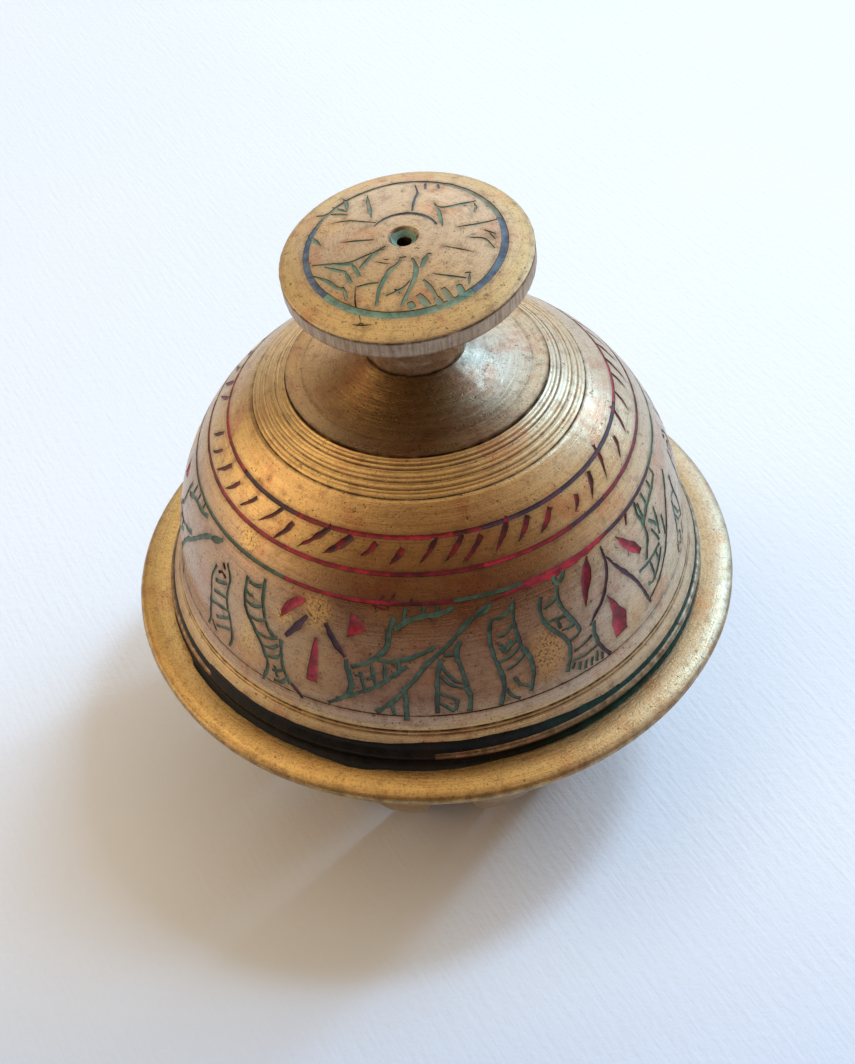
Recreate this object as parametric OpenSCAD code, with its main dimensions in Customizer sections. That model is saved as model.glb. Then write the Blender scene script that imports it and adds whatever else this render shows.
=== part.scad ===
// Small cast brass hand bell that stands on claws, with a mushroom knob and a hanging clapper.
// Millimetres. The bell stands on the plane z = 0, its axis is Z, and its front is towards -Y.

/* [Bell] */
// Diameter across the flared rim
rim_d = 76; // [75:0.5:80]
// Height of the rim's upper edge above the surface the claws stand on
rim_lift = 26; // [24:0.5:28]
// Radius of the wall where the round dome ends, above the border lines
waist_r = 31.25; // [31:0.05:31.5]
// Radius of the dome's round side in section
dome_r = 27.5; // [27:0.1:28]
// Thickness of the cast wall
wall = 2.8; // [2.4:0.1:3]
// Thickness of the flared rim
rim_t = 1.95; // [1.6:0.05:2.4]

/* [Crown] */
// Height of the knob's seat above the rim edge
seat_z = 35.7; // [35:0.1:36.5]
// Radius of the flat seat under the knob
seat_r = 5.9; // [5.8:0.1:6.5]
// Radius of the sharp edge round the concave flare
flare_r = 15.2; // [15:0.1:15.6]
// Radius where the fine turned ridges end
ridges_r = 19.5; // [19:0.1:20]

/* [Knob] */
// Diameter of the knob's disc
disc_d = 28.1; // [26:0.1:30]
// Thickness of the disc at its edge
disc_t = 2.3; // [2:0.1:2.6]
// Height of the disc's upper edge above the knob's seat
knob_h = 12.75; // [12:0.05:13.5]
// Rise of the disc's rounded face from its edge to its centre
cap_rise = 2.4; // [1.5:0.1:3]
// Tilt of the disc on its stem, which is slightly crooked
disc_tilt = 4.6; // [0:0.1:5]
// Direction that the disc tilts to, measured from the front towards +X
tilt_dir = -47; // [-90:1:90]

/* [Claws] */
// Angle of the first claw, measured from the front towards +X
claw_phase = -14.4; // [-25:0.1:0]
// Half the width of a claw where it leaves the wall
claw_root = 5.6; // [5:0.1:5.8]
// Half the width of a claw's tip
claw_tip = 0.8; // [0.6:0.1:1]
// Radius of a claw's outward curve in section
claw_curve = 46; // [44:0.5:48]

/* [Clapper] */
// Diameter of the clapper's ball
bob_d = 12.4; // [10:0.2:13]
// Height of the ball's centre above the surface
bob_z = 15.1; // [13:0.1:18]
// Diameter of the clapper's wire
wire_d = 1.8; // [1.6:0.1:1.8]
// Diameter of the eye bolt's shank
bolt_d = 5; // [4.6:0.1:5]

/* [Hidden] */
$fn = 96;
lip = 0.01;                      // how far cutting shapes run past a face
claws = 14;                      // each claw has its own name, so their number is fixed

// Outline of the bell, heights above the rim edge
dome_c = [waist_r - dome_r, 7.45];
cove_z = 10.5;                   // where the round dome gives way to the cove
cove_k = 0.04;                   // how fast the cove flares out
cove_low = 4.0;                  // lower end of the cove, at the dark band
edge_r = 1.1;                    // rounding of the rim's edge
rim_c = [rim_d / 2 - edge_r, -0.35];
rim_under = rim_c[1] + edge_r - rim_t;
bead_c = [33.15, 2.25];
bead_r = 0.6;
upper_band_corner = bead_c + [-0.55, 0.55];
lower_band_corner = [bead_c[0] - 0.25, 1.72];
lower_band_floor = [bead_c[0] - 0.1, 0.85];
flange_start = [34.15, 0.8];     // the rim's upper face runs from here over its crest
flange_crest = [35.4, 0.9];
ceiling_z = 31.6;                // flat seat inside the crown
inner_low_r = 30.3;              // inside of the wall at the rim
inner_bend = [inner_low_r - 0.5, 2.5];
under_w = 4;                     // width of the flat under the rim
crown_bore = bolt_d / 2 + 0.1;
flare_sag = 0.75;                // depth of the flare's hollow under a straight cone
flare_step = 0.35;
ridge_n = 5;
ridge_depth = 0.16;
ridge_end_a = 0.4;               // run-out below the last ridge, in degrees

// Grooves that hold coloured lac
line_w = 0.55;
line_depth = 0.4;
lac_sink = 0.06;                 // how far the lac lies below the metal in a line
cutter_proud = 0.3;              // how far a groove's cutter stands out of the dome
upper_line_a = 46.6;             // place of each line on the dome's arc, in degrees above its centre
lower_line_a = 38.2;
border_line_a = 31.4;
band_floor = 0.75;               // depth of the two dark bands
band_fill = 0.12;                // how far the lac lies below the metal in a band
band_drop = 0.05;                // slope of the upper band's floor

// Knob: the stem's heights are above the seat, the disc's are above its upper edge
stem_low_r = 5.65;
stem_top_r = 6.7;
stem_top = 10.6;
disc_under = -2.3;               // where the stem meets the disc's underside
neck_h = 1.2;                    // height of the flare between stem and disc
neck_w = 1.4;                    // its width beyond the stem
neck_in = 0.4;                   // how far it starts inside the stem
neck_edge = 0.25;                // its thickness at its outer edge
disc_round = [0.35, 0.25];       // chamfer of the disc's lower edge, across and up
disc_bevel = 0.2;                // chamfer of its upper edge
ring_in = 10.45;
ring_out = 11.3;
ring_depth = 0.4;
dimple_r = 1.68;
pilot_r = 0.8;
pilot_depth = 2.9;
dimple_film_r = 1.3;             // upper edge of the lac left in the dimple
dimple_film = 0.15;              // its thickness
knob_bore_top = 7.6;
cap_r = (pow(disc_d / 2, 2) + pow(cap_rise, 2)) / 2 / cap_rise;
bore_play = 0.05;                // clearance round the bolt's shank and round the clapper's rod
shank_bore = bolt_d / 2 + bore_play;

// Claw curve
claw_pass = [25.7, -20.5];       // a point on the claw's outside, and the angle of the arc there
claw_pass_a = 34.5;
claw_c = claw_pass - claw_curve * [cos(claw_pass_a), -sin(claw_pass_a)];
claw_start_a = 6;
claw_end_a = 47;
claw_t_root = 3.0;
claw_t_tip = 2.1;
claw_ogive = 1.8;                // fullness of its sides seen from the front
claw_in = 10;                    // radii between which the claws are cut from their skirt
claw_out = 40;

// Clapper chain, heights above the surface
wire_r = wire_d / 2;
eye_wire = 1.2;
eye_major = 3.3;
eye_z = 48.6;
link_major = 3.8;
rod_eye_major = 2.6;
gap = 0.3;                       // play between the wires
eye_pivot_z = eye_z - eye_major;
link_z = eye_pivot_z + eye_wire + wire_r + gap - link_major;
link_pivot_z = link_z - link_major;
rod_eye_z = link_pivot_z + 2 * wire_r + gap - rod_eye_major;
rod_r = 1.0;
rivet_r = 1.9;
rivet_t = 0.7;
rivet_taper = 0.6;
rivet_seat = 0.45;               // depth of the flat filed under the ball
seat_flat_r = 4;
bolt_l = 17.2;                   // length of the shank from the eye into the knob
washer_t = 1.0;
washer_r = 5.8;
washer_play = 0.2;
nut_af = 8;
nut_t = 3.0;
nut_break = 0.05;                // chamfer at the nut's lower corners

// A point on the dome's arc, and the same point sunk below the surface
function on_dome(a, sink = 0) =
    [dome_c[0] + (dome_r - sink) * cos(a), dome_c[1] + (dome_r - sink) * sin(a)];
// Angle on the dome's arc at a given radius from the axis
function dome_angle(r) = acos((r - dome_c[0]) / dome_r);
// Radius of the cove at a given height
function cove(z) = on_dome(asin((cove_z - dome_c[1]) / dome_r))[0] + cove_k * pow(cove_z - z, 2);
// Inner end of the cut for the upper dark band, under the cove
function upper_band_floor() = [cove(cove_low) - band_floor, cove_low - band_drop];
// Half the width of a groove on the dome, in degrees of its arc
function groove_half() = line_w / 2 / dome_r * 180 / PI;

// Outline of the outside, from the seat down to the underside of the rim
function flare() = [for (i = [0 : 8]) let (u = i / 8)
    [seat_r + (flare_r - seat_r) * u,
     seat_z + (on_dome(dome_angle(flare_r))[1] + flare_step - seat_z) * u - 4 * flare_sag * u * (1 - u)]];
function ridges() = [for (i = [0 : 2 * ridge_n]) let (a0 = dome_angle(flare_r), a1 = dome_angle(ridges_r))
    on_dome(a0 + (a1 - a0) * i / (2 * ridge_n), ridge_depth * (1 - i % 2))];
function dome_side() = let (a0 = dome_angle(ridges_r) - ridge_end_a, a1 = asin((cove_z - dome_c[1]) / dome_r))
    [for (i = [0 : 22]) on_dome(a0 + (a1 - a0) * i / 22)];
function cove_side() = [for (i = [1 : 6]) let (z = cove_z - (cove_z - cove_low) * i / 6) [cove(z), z]];
function bead_side() = [for (a = [70 : -20 : -70]) bead_c + bead_r * [cos(a), sin(a)]];
function rim_side() = [for (a = [100 : -15 : -95]) rim_c + edge_r * [cos(a), sin(a)]];
function inner_side() = let (r_in = dome_r - wall, a0 = asin((cove_z - dome_c[1]) / r_in),
        a1 = asin((ceiling_z - dome_c[1]) / r_in))
    [for (i = [0 : 16]) let (a = a0 + (a1 - a0) * i / 16) dome_c + r_in * [cos(a), sin(a)]];

module bell_outline() {
    polygon(concat(
        [[crown_bore, seat_z]], flare(), ridges(), dome_side(), cove_side(),
        [upper_band_floor(), upper_band_corner],
        bead_side(),
        [lower_band_corner, lower_band_floor, flange_start, flange_crest],
        rim_side(),
        [[inner_low_r + under_w, rim_under], [inner_low_r, rim_under], inner_bend],
        inner_side(),
        [[crown_bore, ceiling_z]]));
}

// Section of a groove on the dome's arc, or of the lac in it when proud is zero
module line_section(a, depth, proud) {
    h = groove_half();
    polygon([on_dome(a - h, -proud), on_dome(a + h, -proud), on_dome(a + h, depth), on_dome(a - h, depth)]);
}

module lac_line(a) {
    translate([0, 0, rim_lift]) rotate_extrude() line_section(a, line_depth, -lac_sink);
}

module bell_body() {
    color("#a9875f") difference() {
        translate([0, 0, rim_lift]) rotate_extrude() bell_outline();
        translate([0, 0, rim_lift]) rotate_extrude() line_section(upper_line_a, line_depth, cutter_proud);
        translate([0, 0, rim_lift]) rotate_extrude() line_section(lower_line_a, line_depth, cutter_proud);
        translate([0, 0, rim_lift]) rotate_extrude() line_section(border_line_a, line_depth, cutter_proud);
    }
}

module lac_upper_line() { color("#8e1f2d") lac_line(upper_line_a); }
module lac_lower_line() { color("#8e1f2d") lac_line(lower_line_a); }
module lac_border_line() { color("#6d2430") lac_line(border_line_a); }

// Dark lac above the bead, in the corner under the cove
module lac_dark_band_upper() {
    outer = [cove(cove_low) - band_fill, cove_low - band_drop];
    on_bead = bead_c + [0.05, 0.62];
    color("#10201b") translate([0, 0, rim_lift]) rotate_extrude()
        polygon([upper_band_floor(), outer, on_bead, upper_band_corner]);
}

// Dark lac below the bead, against the rim's upper face
module lac_dark_band_lower() {
    under_bead = lower_band_corner + [0.45, -0.06];
    on_flange = flange_start + [-0.05, 0.15];
    color("#10201b") translate([0, 0, rim_lift]) rotate_extrude()
        polygon([lower_band_corner, under_bead, on_flange, flange_start, lower_band_floor]);
}

// Height of the disc's rounded face above its upper edge, at a given radius
function cap(r) = sqrt(pow(cap_r, 2) - pow(r, 2)) - cap_r + cap_rise;

// Puts a shape made round the Z axis, with the disc's upper edge at z = 0, in the disc's place
module on_disc() {
    translate([0, 0, rim_lift + seat_z + knob_h]) rotate([0, 0, tilt_dir]) rotate([disc_tilt, 0, 0])
        children();
}

module disc_shape() {
    r = disc_d / 2;
    low = 0.1 - disc_t;
    rotate_extrude() polygon(concat(
        [[0, disc_under - neck_h],
         [stem_top_r - neck_in, disc_under - neck_h],
         [stem_top_r + neck_w, disc_under - neck_edge],
         [r - disc_round[0], low - disc_round[1]],
         [r, low],
         [r, -disc_bevel],
         [r - disc_bevel, cap(r)]],
        [for (i = [1 : 10]) let (q = (r - disc_bevel) * (1 - i / 10)) [q, cap(q)]]));
}

// Floor of the ring groove in the disc's face
function ring_floor() = cap((ring_in + ring_out) / 2) - ring_depth;

module ring_cut() {
    tall = 3;
    translate([0, 0, ring_floor()]) difference() {
        cylinder(h = tall, r = ring_out);
        translate([0, 0, -lip]) cylinder(h = tall + 1, r = ring_in);
    }
}

module dimple_cut() {
    translate([0, 0, cap_rise - dimple_r]) cylinder(h = dimple_r + lip, r1 = 0, r2 = dimple_r + lip);
    translate([0, 0, cap_rise - pilot_depth]) cylinder(h = pilot_depth, r = pilot_r);
}

module knob() {
    seat = rim_lift + seat_z;
    color("#b08c58") difference() {
        union() {
            translate([0, 0, seat]) cylinder(h = stem_top, r1 = stem_low_r, r2 = stem_top_r);
            on_disc() disc_shape();
        }
        on_disc() ring_cut();
        on_disc() dimple_cut();
        translate([0, 0, seat - lip]) cylinder(h = knob_bore_top + lip, r = shank_bore);
    }
}

module lac_knob_ring() {
    color("#4f8f78") on_disc() rotate_extrude() polygon([
        [ring_in, ring_floor()],
        [ring_out, ring_floor()],
        [ring_out, cap(ring_out) - lac_sink],
        [ring_in, cap(ring_in) - lac_sink]]);
}

// Lac left on the lower half of the centre dimple's cone
module lac_knob_dimple() {
    low = pilot_r;
    high = dimple_film_r;
    color("#4f8f78") on_disc() translate([0, 0, cap_rise - dimple_r]) rotate_extrude() polygon([
        [low, low],
        [high, high],
        [high - dimple_film, high + dimple_film * 0.4],
        [low, low + dimple_film * 1.4]]);
}

// Section of the skirt that the claws are cut from, tapering in thickness towards the tips
module claw_section() {
    n = 18;
    step = (claw_end_a - claw_start_a) / n;
    thinning = (claw_t_root - claw_t_tip) / n;
    polygon(concat(
        [for (i = [0 : n]) let (a = claw_start_a + step * i)
            claw_c + claw_curve * [cos(a), -sin(a)]],
        [for (i = [n : -1 : 0]) let (a = claw_start_a + step * i)
            claw_c + (claw_curve - claw_t_root + thinning * i) * [cos(a), -sin(a)]]));
}

// Front view of one claw, an ogive from its root to its tip
module claw_front() {
    top = rim_lift + rim_under;
    n = 12;
    half = [for (i = [0 : n]) let (u = i / n)
        [claw_tip + (claw_root - claw_tip) * (1 - pow(u, claw_ogive)), top * (1 - u)]];
    polygon(concat(half, [for (i = [n : -1 : 0]) [-half[i][0], half[i][1]]]));
}

module claw(index) {
    color("#b8924f") rotate([0, 0, claw_phase + (index - 1) * 360 / claws]) intersection() {
        translate([0, 0, rim_lift]) rotate_extrude() claw_section();
        translate([0, -claw_in, 0]) rotate([90, 0, 0]) linear_extrude(height = claw_out - claw_in)
            claw_front();
    }
}

module ring(major, minor) {
    rotate_extrude() translate([major, 0]) circle(r = minor, $fn = 48);
}

module eye_bolt() {
    color("#6e6a64") union() {
        translate([0, 0, eye_z]) rotate([90, 0, 0]) ring(eye_major, eye_wire);
        translate([0, 0, eye_z + eye_major]) cylinder(h = bolt_l, r = bolt_d / 2);
    }
}

module crown_washer() {
    top = rim_lift + ceiling_z;
    color("#7a766e") translate([0, 0, top - washer_t]) difference() {
        cylinder(h = washer_t, r = washer_r);
        translate([0, 0, -lip]) cylinder(h = washer_t + 2 * lip, r = bolt_d / 2 + washer_play);
    }
}

module lock_nut() {
    top = rim_lift + ceiling_z - washer_t;
    low_r = nut_af / 2 - nut_break;
    color("#7a766e") translate([0, 0, top - nut_t]) difference() {
        intersection() {
            cylinder(h = nut_t, r = nut_af / 2 / cos(30), $fn = 6);
            cylinder(h = nut_t + lip, r1 = low_r, r2 = low_r + nut_t + lip);
        }
        translate([0, 0, -lip]) cylinder(h = nut_t + 2 * lip, r = shank_bore);
    }
}

module clapper_link() {
    color("#6e6a64") translate([0, 0, link_z]) rotate([0, 90, 0]) ring(link_major, wire_r);
}

module clapper_rod() {
    low = bob_z - bob_d / 2 + rivet_seat;
    color("#6e6a64") union() {
        translate([0, 0, rod_eye_z]) rotate([90, 0, 0]) ring(rod_eye_major, wire_r);
        translate([0, 0, low]) cylinder(h = rod_eye_z - rod_eye_major - low, r = rod_r);
        translate([0, 0, low - rivet_t]) cylinder(h = rivet_t, r1 = rivet_r - rivet_taper, r2 = rivet_r);
    }
}

module clapper_bob() {
    low = bob_z - bob_d / 2 + rivet_seat;
    color("#a88452") difference() {
        translate([0, 0, bob_z]) sphere(d = bob_d);
        translate([0, 0, low - 2]) cylinder(h = 2, r = seat_flat_r);
        translate([0, 0, bob_z - bob_d]) cylinder(h = 2 * bob_d, r = rod_r + bore_play);
    }
}

module claw_01() { claw(1); }
module claw_02() { claw(2); }
module claw_03() { claw(3); }
module claw_04() { claw(4); }
module claw_05() { claw(5); }
module claw_06() { claw(6); }
module claw_07() { claw(7); }
module claw_08() { claw(8); }
module claw_09() { claw(9); }
module claw_10() { claw(10); }
module claw_11() { claw(11); }
module claw_12() { claw(12); }
module claw_13() { claw(13); }
module claw_14() { claw(14); }

bell_body();
knob();
claw_01();
claw_02();
claw_03();
claw_04();
claw_05();
claw_06();
claw_07();
claw_08();
claw_09();
claw_10();
claw_11();
claw_12();
claw_13();
claw_14();
eye_bolt();
crown_washer();
lock_nut();
clapper_link();
clapper_rod();
clapper_bob();
lac_upper_line();
lac_lower_line();
lac_border_line();
lac_dark_band_upper();
lac_dark_band_lower();
lac_knob_ring();
lac_knob_dimple();
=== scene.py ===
"""Brass puja bell on claws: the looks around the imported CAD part.

Lengths are millimetres, and heights are above the rim's upper edge unless they say otherwise. They become
metres where a mesh or the camera is made. The lamps' places are metres.
"""
import math
import random

import bpy
import numpy as np
from mathutils import Matrix, Vector, noise
from mathutils.geometry import delaunay_2d_cdt


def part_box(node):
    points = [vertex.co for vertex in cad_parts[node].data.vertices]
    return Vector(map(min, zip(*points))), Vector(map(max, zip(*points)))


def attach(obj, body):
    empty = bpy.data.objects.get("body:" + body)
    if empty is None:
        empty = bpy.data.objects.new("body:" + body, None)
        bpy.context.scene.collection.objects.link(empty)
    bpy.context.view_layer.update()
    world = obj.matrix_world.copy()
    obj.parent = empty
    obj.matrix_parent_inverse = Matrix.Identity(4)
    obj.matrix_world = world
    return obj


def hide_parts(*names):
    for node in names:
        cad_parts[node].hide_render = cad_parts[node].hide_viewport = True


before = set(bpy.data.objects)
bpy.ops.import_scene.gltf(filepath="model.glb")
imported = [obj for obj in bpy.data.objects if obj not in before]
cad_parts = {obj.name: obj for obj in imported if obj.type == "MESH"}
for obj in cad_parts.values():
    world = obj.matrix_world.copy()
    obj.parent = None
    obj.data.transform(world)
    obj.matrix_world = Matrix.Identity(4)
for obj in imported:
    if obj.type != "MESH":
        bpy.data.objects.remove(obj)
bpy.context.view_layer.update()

MM = 0.001
rng = random.Random(14)

# Driving sizes, from the frame where it holds them
_, body_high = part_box("bell_body")
RIM_R = body_high.x / MM
SEAT_Z = 35.7
LIFT = body_high.z / MM - SEAT_Z            # height of the rim's upper edge above the floor
DOME_C = (3.75, 7.45)                       # centre of the dome's arc in section
DOME_R = 27.5
TOP_ANGLE = 60.0                            # the chart's s = 0 lies here on the arc
COVE_Z = 10.5                               # the arc ends and the cove begins
COVE_FLARE = 0.04
SEAT_R = 5.9
FLARE_R = 15.2                              # sharp edge round the concave crown
RIDGES_R = 19.5
COVE_FOOT_Z = 3.45                          # the cove ends here, above the narrow groove over the bead
BEAD_C = (33.15, 2.25)
BEAD_R = 0.6
WALL = 2.8                                  # the dome's thickness
CREST_Z = 31.5                              # only the crown and the dome's top lie above this
CROWN_UNDER_Z = 31.6
CROWN_HOLE_R = 2.6
RIM_WAVE_R = 34                             # the rim is a little out of round beyond this
LEVEL = 0.004                               # a cut shallower than this counts as none
TURNS = 360                                 # steps round the turned pieces

# Places of the turned lines, measured down the side from the chart's top
S_UPPER = 6.43
S_LOWER = 10.46
S_BORDER = 13.73
S_FINE = 28.93
BAND_TOP = 4.8                              # the engraved chart runs between these two
BAND_END = 30.3


# ---------------------------------------------------------------- section of the bell

def dome_point(angle):
    """(r, z) on the dome's arc."""
    a = math.radians(angle)
    return DOME_C[0] + DOME_R * math.cos(a), DOME_C[1] + DOME_R * math.sin(a)


ARC_END = math.degrees(math.asin((COVE_Z - DOME_C[1]) / DOME_R))
S_COVE = math.radians(TOP_ANGLE - ARC_END) * DOME_R
COVE_R = dome_point(ARC_END)[0]


def cove_r(z):
    """Radius of the cove under the dome."""
    return COVE_R + COVE_FLARE * (COVE_Z - z) ** 2


def side_point(s):
    """Radius, height and outward slope (nr, nz) of the bell's side, s mm down from the chart's top."""
    if s <= S_COVE:
        angle = TOP_ANGLE - math.degrees(s / DOME_R)
        r, z = dome_point(angle)
        a = math.radians(angle)
        return r, z, math.cos(a), math.sin(a)
    run = s - S_COVE
    drop = run * (1 - (2 * COVE_FLARE * run) ** 2 / 6)
    slope = 2 * COVE_FLARE * drop
    size = math.hypot(1, slope)
    blend = min(1, drop / 1.5)
    nz = (1 - blend) * math.sin(math.radians(ARC_END)) + blend * slope / size
    return cove_r(COVE_Z - drop), COVE_Z - drop, math.sqrt(1 - nz * nz), nz


def spin(theta, r, z):
    """A point at angle theta degrees from the front towards +X, in mm above the floor."""
    t = math.radians(theta)
    return r * math.sin(t), -r * math.cos(t), z + LIFT


# ---------------------------------------------------------------- mesh maker

class Shell:
    """Vertices in mm above the floor, with named float layers, and faces in shading groups."""

    def __init__(self):
        self.verts, self.faces, self.groups, self.fixed = [], [], [], {}
        self.layers = {"grime": [], "tone": [], "matted": [], "striped": [], "patina": [], "pale": []}

    def vert(self, point, **layers):
        self.verts.append(point)
        for name, values in self.layers.items():
            values.append(layers.get(name, 0.0))
        return len(self.verts) - 1

    def face(self, corners, group):
        corners = [c for i, c in enumerate(corners) if c != corners[i - 1]]
        if len(corners) > 2:
            self.faces.append(corners)
            self.groups.append(group)

    def loop_normals(self):
        """Smooth within a group, sharp between groups; a fixed normal wins for level and blended groups."""
        co = np.array(self.verts)
        sums = {}
        for corners, group in zip(self.faces, self.groups):
            p = co[corners]
            n = np.cross(p[1] - p[0], p[2] - p[0])
            if len(corners) == 4:
                n = n + np.cross(p[2] - p[0], p[3] - p[0])
            for c in corners:
                key = (group, c)
                sums[key] = sums.get(key, 0) + n
        out = []
        for corners, group in zip(self.faces, self.groups):
            for c in corners:
                if group.startswith("level") and c in self.fixed:
                    out.append(self.fixed[c])
                else:
                    n = sums[(group, c)]
                    out.append(tuple(n / (np.linalg.norm(n) + 1e-12)))
        return out

    def build(self, name, material, body="bell", slot=None):
        mesh = bpy.data.meshes.new(name)
        mesh.from_pydata([tuple(MM * v for v in p) for p in self.verts], [], self.faces)
        mesh.update()
        for layer, values in self.layers.items():
            attribute = mesh.attributes.new(layer, "FLOAT", "POINT")
            attribute.data.foreach_set("value", np.array(values, np.float32))
        mesh.polygons.foreach_set("use_smooth", [True] * len(mesh.polygons))
        mesh.normals_split_custom_set(self.loop_normals())
        piece = bpy.data.objects.new(name, mesh)
        bpy.context.scene.collection.objects.link(piece)
        piece.data.materials.append(material)
        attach(piece, body)
        return piece


def ring_of(shell, r, z, place=spin, count=TURNS, **layers):
    """One ring of vertices, from the back round."""
    return [shell.vert(place(-180 + 360 * i / count, r, z), **layers) for i in range(count)]


def join_rings(shell, upper, lower, group):
    """Quads between two rings, facing outwards when the first ring comes first on the outline."""
    n = len(upper)
    for i in range(n):
        j = (i + 1) % n
        shell.face([upper[i], lower[i], lower[j], upper[j]], group)


def turned(shell, outline, place=spin, sharp=32, count=TURNS, first=None, last=None, label="turn"):
    """Turns an outline of (r, z, layers) between two rings, with sharp edges where it bends hard."""
    rings = [first] if first else []
    for r, z, *rest in outline:
        extra = rest[0] if rest else {}
        rings.append(ring_of(shell, r, z, place=place, count=count, **extra))
    if last:
        rings.append(last)
    if place is spin:
        section = [(math.hypot(*shell.verts[ring[0]][:2]), shell.verts[ring[0]][2]) for ring in rings]
    else:
        section = [(0, 0)] * bool(first) + [(r, z) for r, z, *_ in outline] + [(0, 0)] * bool(last)
    run = 0
    for i, (upper, lower) in enumerate(zip(rings, rings[1:])):
        if i:
            (r0, z0), (r1, z1), (r2, z2) = section[i - 1:i + 2]
            bend = math.atan2(z2 - z1, r2 - r1) - math.atan2(z1 - z0, r1 - r0)
            if math.degrees(abs((bend + math.pi) % (2 * math.pi) - math.pi)) > sharp:
                run += 1
        join_rings(shell, upper, lower, f"level_{label}{run}")
    return rings


# ---------------------------------------------------------------- engraving

GROOVE_SLOPE = 1.7                          # depth of a groove's wall for each mm in from its edge
LAC_EDGE = 0.055                            # how far inside the groove's edge the lac begins
STEP = 0.35                                 # spacing of the points along a stroke
SWAY, SWELL = 0.09, 0.42                    # how far the hand strays, and how much its cuts swell
BROAD = 0.45                                # a cut with a wider half than this is broad and deep
FAR = 9.0                                   # stands for no cut nearby


def smooth_line(points, step):
    """Points along a Catmull-Rom curve through the given ones, with the share of the length at each."""
    p = [np.array(q, float) for q in points]
    p = [2 * p[0] - p[1]] + p + [2 * p[-1] - p[-2]]
    dense = []
    for i in range(1, len(p) - 2):
        for k in range(12):
            t = k / 12
            dense.append(0.5 * (2 * p[i] + (p[i + 1] - p[i - 1]) * t
                                + (2 * p[i - 1] - 5 * p[i] + 4 * p[i + 1] - p[i + 2]) * t * t
                                + (3 * p[i] - p[i - 1] - 3 * p[i + 1] + p[i + 2]) * t ** 3))
    dense.append(p[-2])
    dense = np.array(dense)
    run = np.r_[0, np.cumsum(np.linalg.norm(np.diff(dense, axis=0), axis=1))]
    length = run[-1]
    count = max(3, int(length / step) + 2)
    at = np.linspace(0, length, count)
    return np.stack([np.interp(at, run, dense[:, 0]), np.interp(at, run, dense[:, 1])], 1), at, length


class Stroke:
    """One cut of the graver: a line with a half-width that changes along it."""

    def __init__(self, colour, points, widths, depth=0.42, sink=0.25, hand=0.0, seed=0):
        self.colour, self.depth, self.sink = colour, depth, sink
        self.line, self.at, self.length = smooth_line(points, STEP)
        if hand:
            for k, at in enumerate(self.at):
                self.line[k, 0] += hand * SWAY * noise.noise(Vector((at * 0.9, seed * 3.7, 1.3)))
                self.line[k, 1] += hand * SWAY * noise.noise(Vector((at * 0.9, seed * 3.7, 7.9)))
        widths = list(np.atleast_1d(widths))
        if len(widths) == 1:
            widths = widths * 2
        place = self.at / self.length * (len(widths) - 1)
        whole = np.minimum(place.astype(int), len(widths) - 2)
        part = place - whole
        widths = np.array(widths)
        self.width = widths[whole] + (widths[whole + 1] - widths[whole]) * (3 - 2 * part) * part ** 2
        if hand:
            self.width *= [1 + hand * SWELL * noise.noise(Vector((at * 1.15, seed * 5.1, 3.3)))
                           for at in self.at]
        tangent = np.gradient(self.line, axis=0)
        tangent /= np.linalg.norm(tangent, axis=1)[:, None] + 1e-9
        self.side = np.stack([-tangent[:, 1], tangent[:, 0]], 1)
        self.edge = self.outline(0)

    def outline(self, inset):
        at = np.clip(self.at, inset, self.length - inset)
        x = np.interp(at, self.at, self.line[:, 0])
        y = np.interp(at, self.at, self.line[:, 1])
        width = np.interp(at, self.at, self.width) - inset
        keep = width > 0.012
        if inset:
            keep &= np.r_[True, np.diff(at) > 1e-6]
        if keep.sum() < 2:
            return None
        centre = np.stack([x, y], 1)[keep]
        offset = self.side[keep] * width[keep][:, None]
        return np.concatenate([centre + offset, (centre - offset)[::-1]])

    def inside(self, points):
        """Distance in from the outline, negative outside, for points in the stroke's own plane."""
        a = self.edge
        b = np.roll(a, -1, axis=0)
        d = b - a
        rel = points[:, None, :] - a[None]
        t = np.clip((rel * d).sum(2) / ((d * d).sum(1) + 1e-12), 0, 1)
        dist = np.linalg.norm(rel - t[..., None] * d, axis=2).min(1)
        crosses = ((a[:, 1] > points[:, None, 1]) != (b[:, 1] > points[:, None, 1])) & (
            points[:, None, 0] < (b[:, 0] - a[:, 0]) * (points[:, None, 1] - a[:, 1])
            / np.where(abs(b[:, 1] - a[:, 1]) < 1e-12, 1e-12, b[:, 1] - a[:, 1]) + a[:, 0])
        return np.where(crosses.sum(1) % 2 == 1, dist, -dist)


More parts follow.
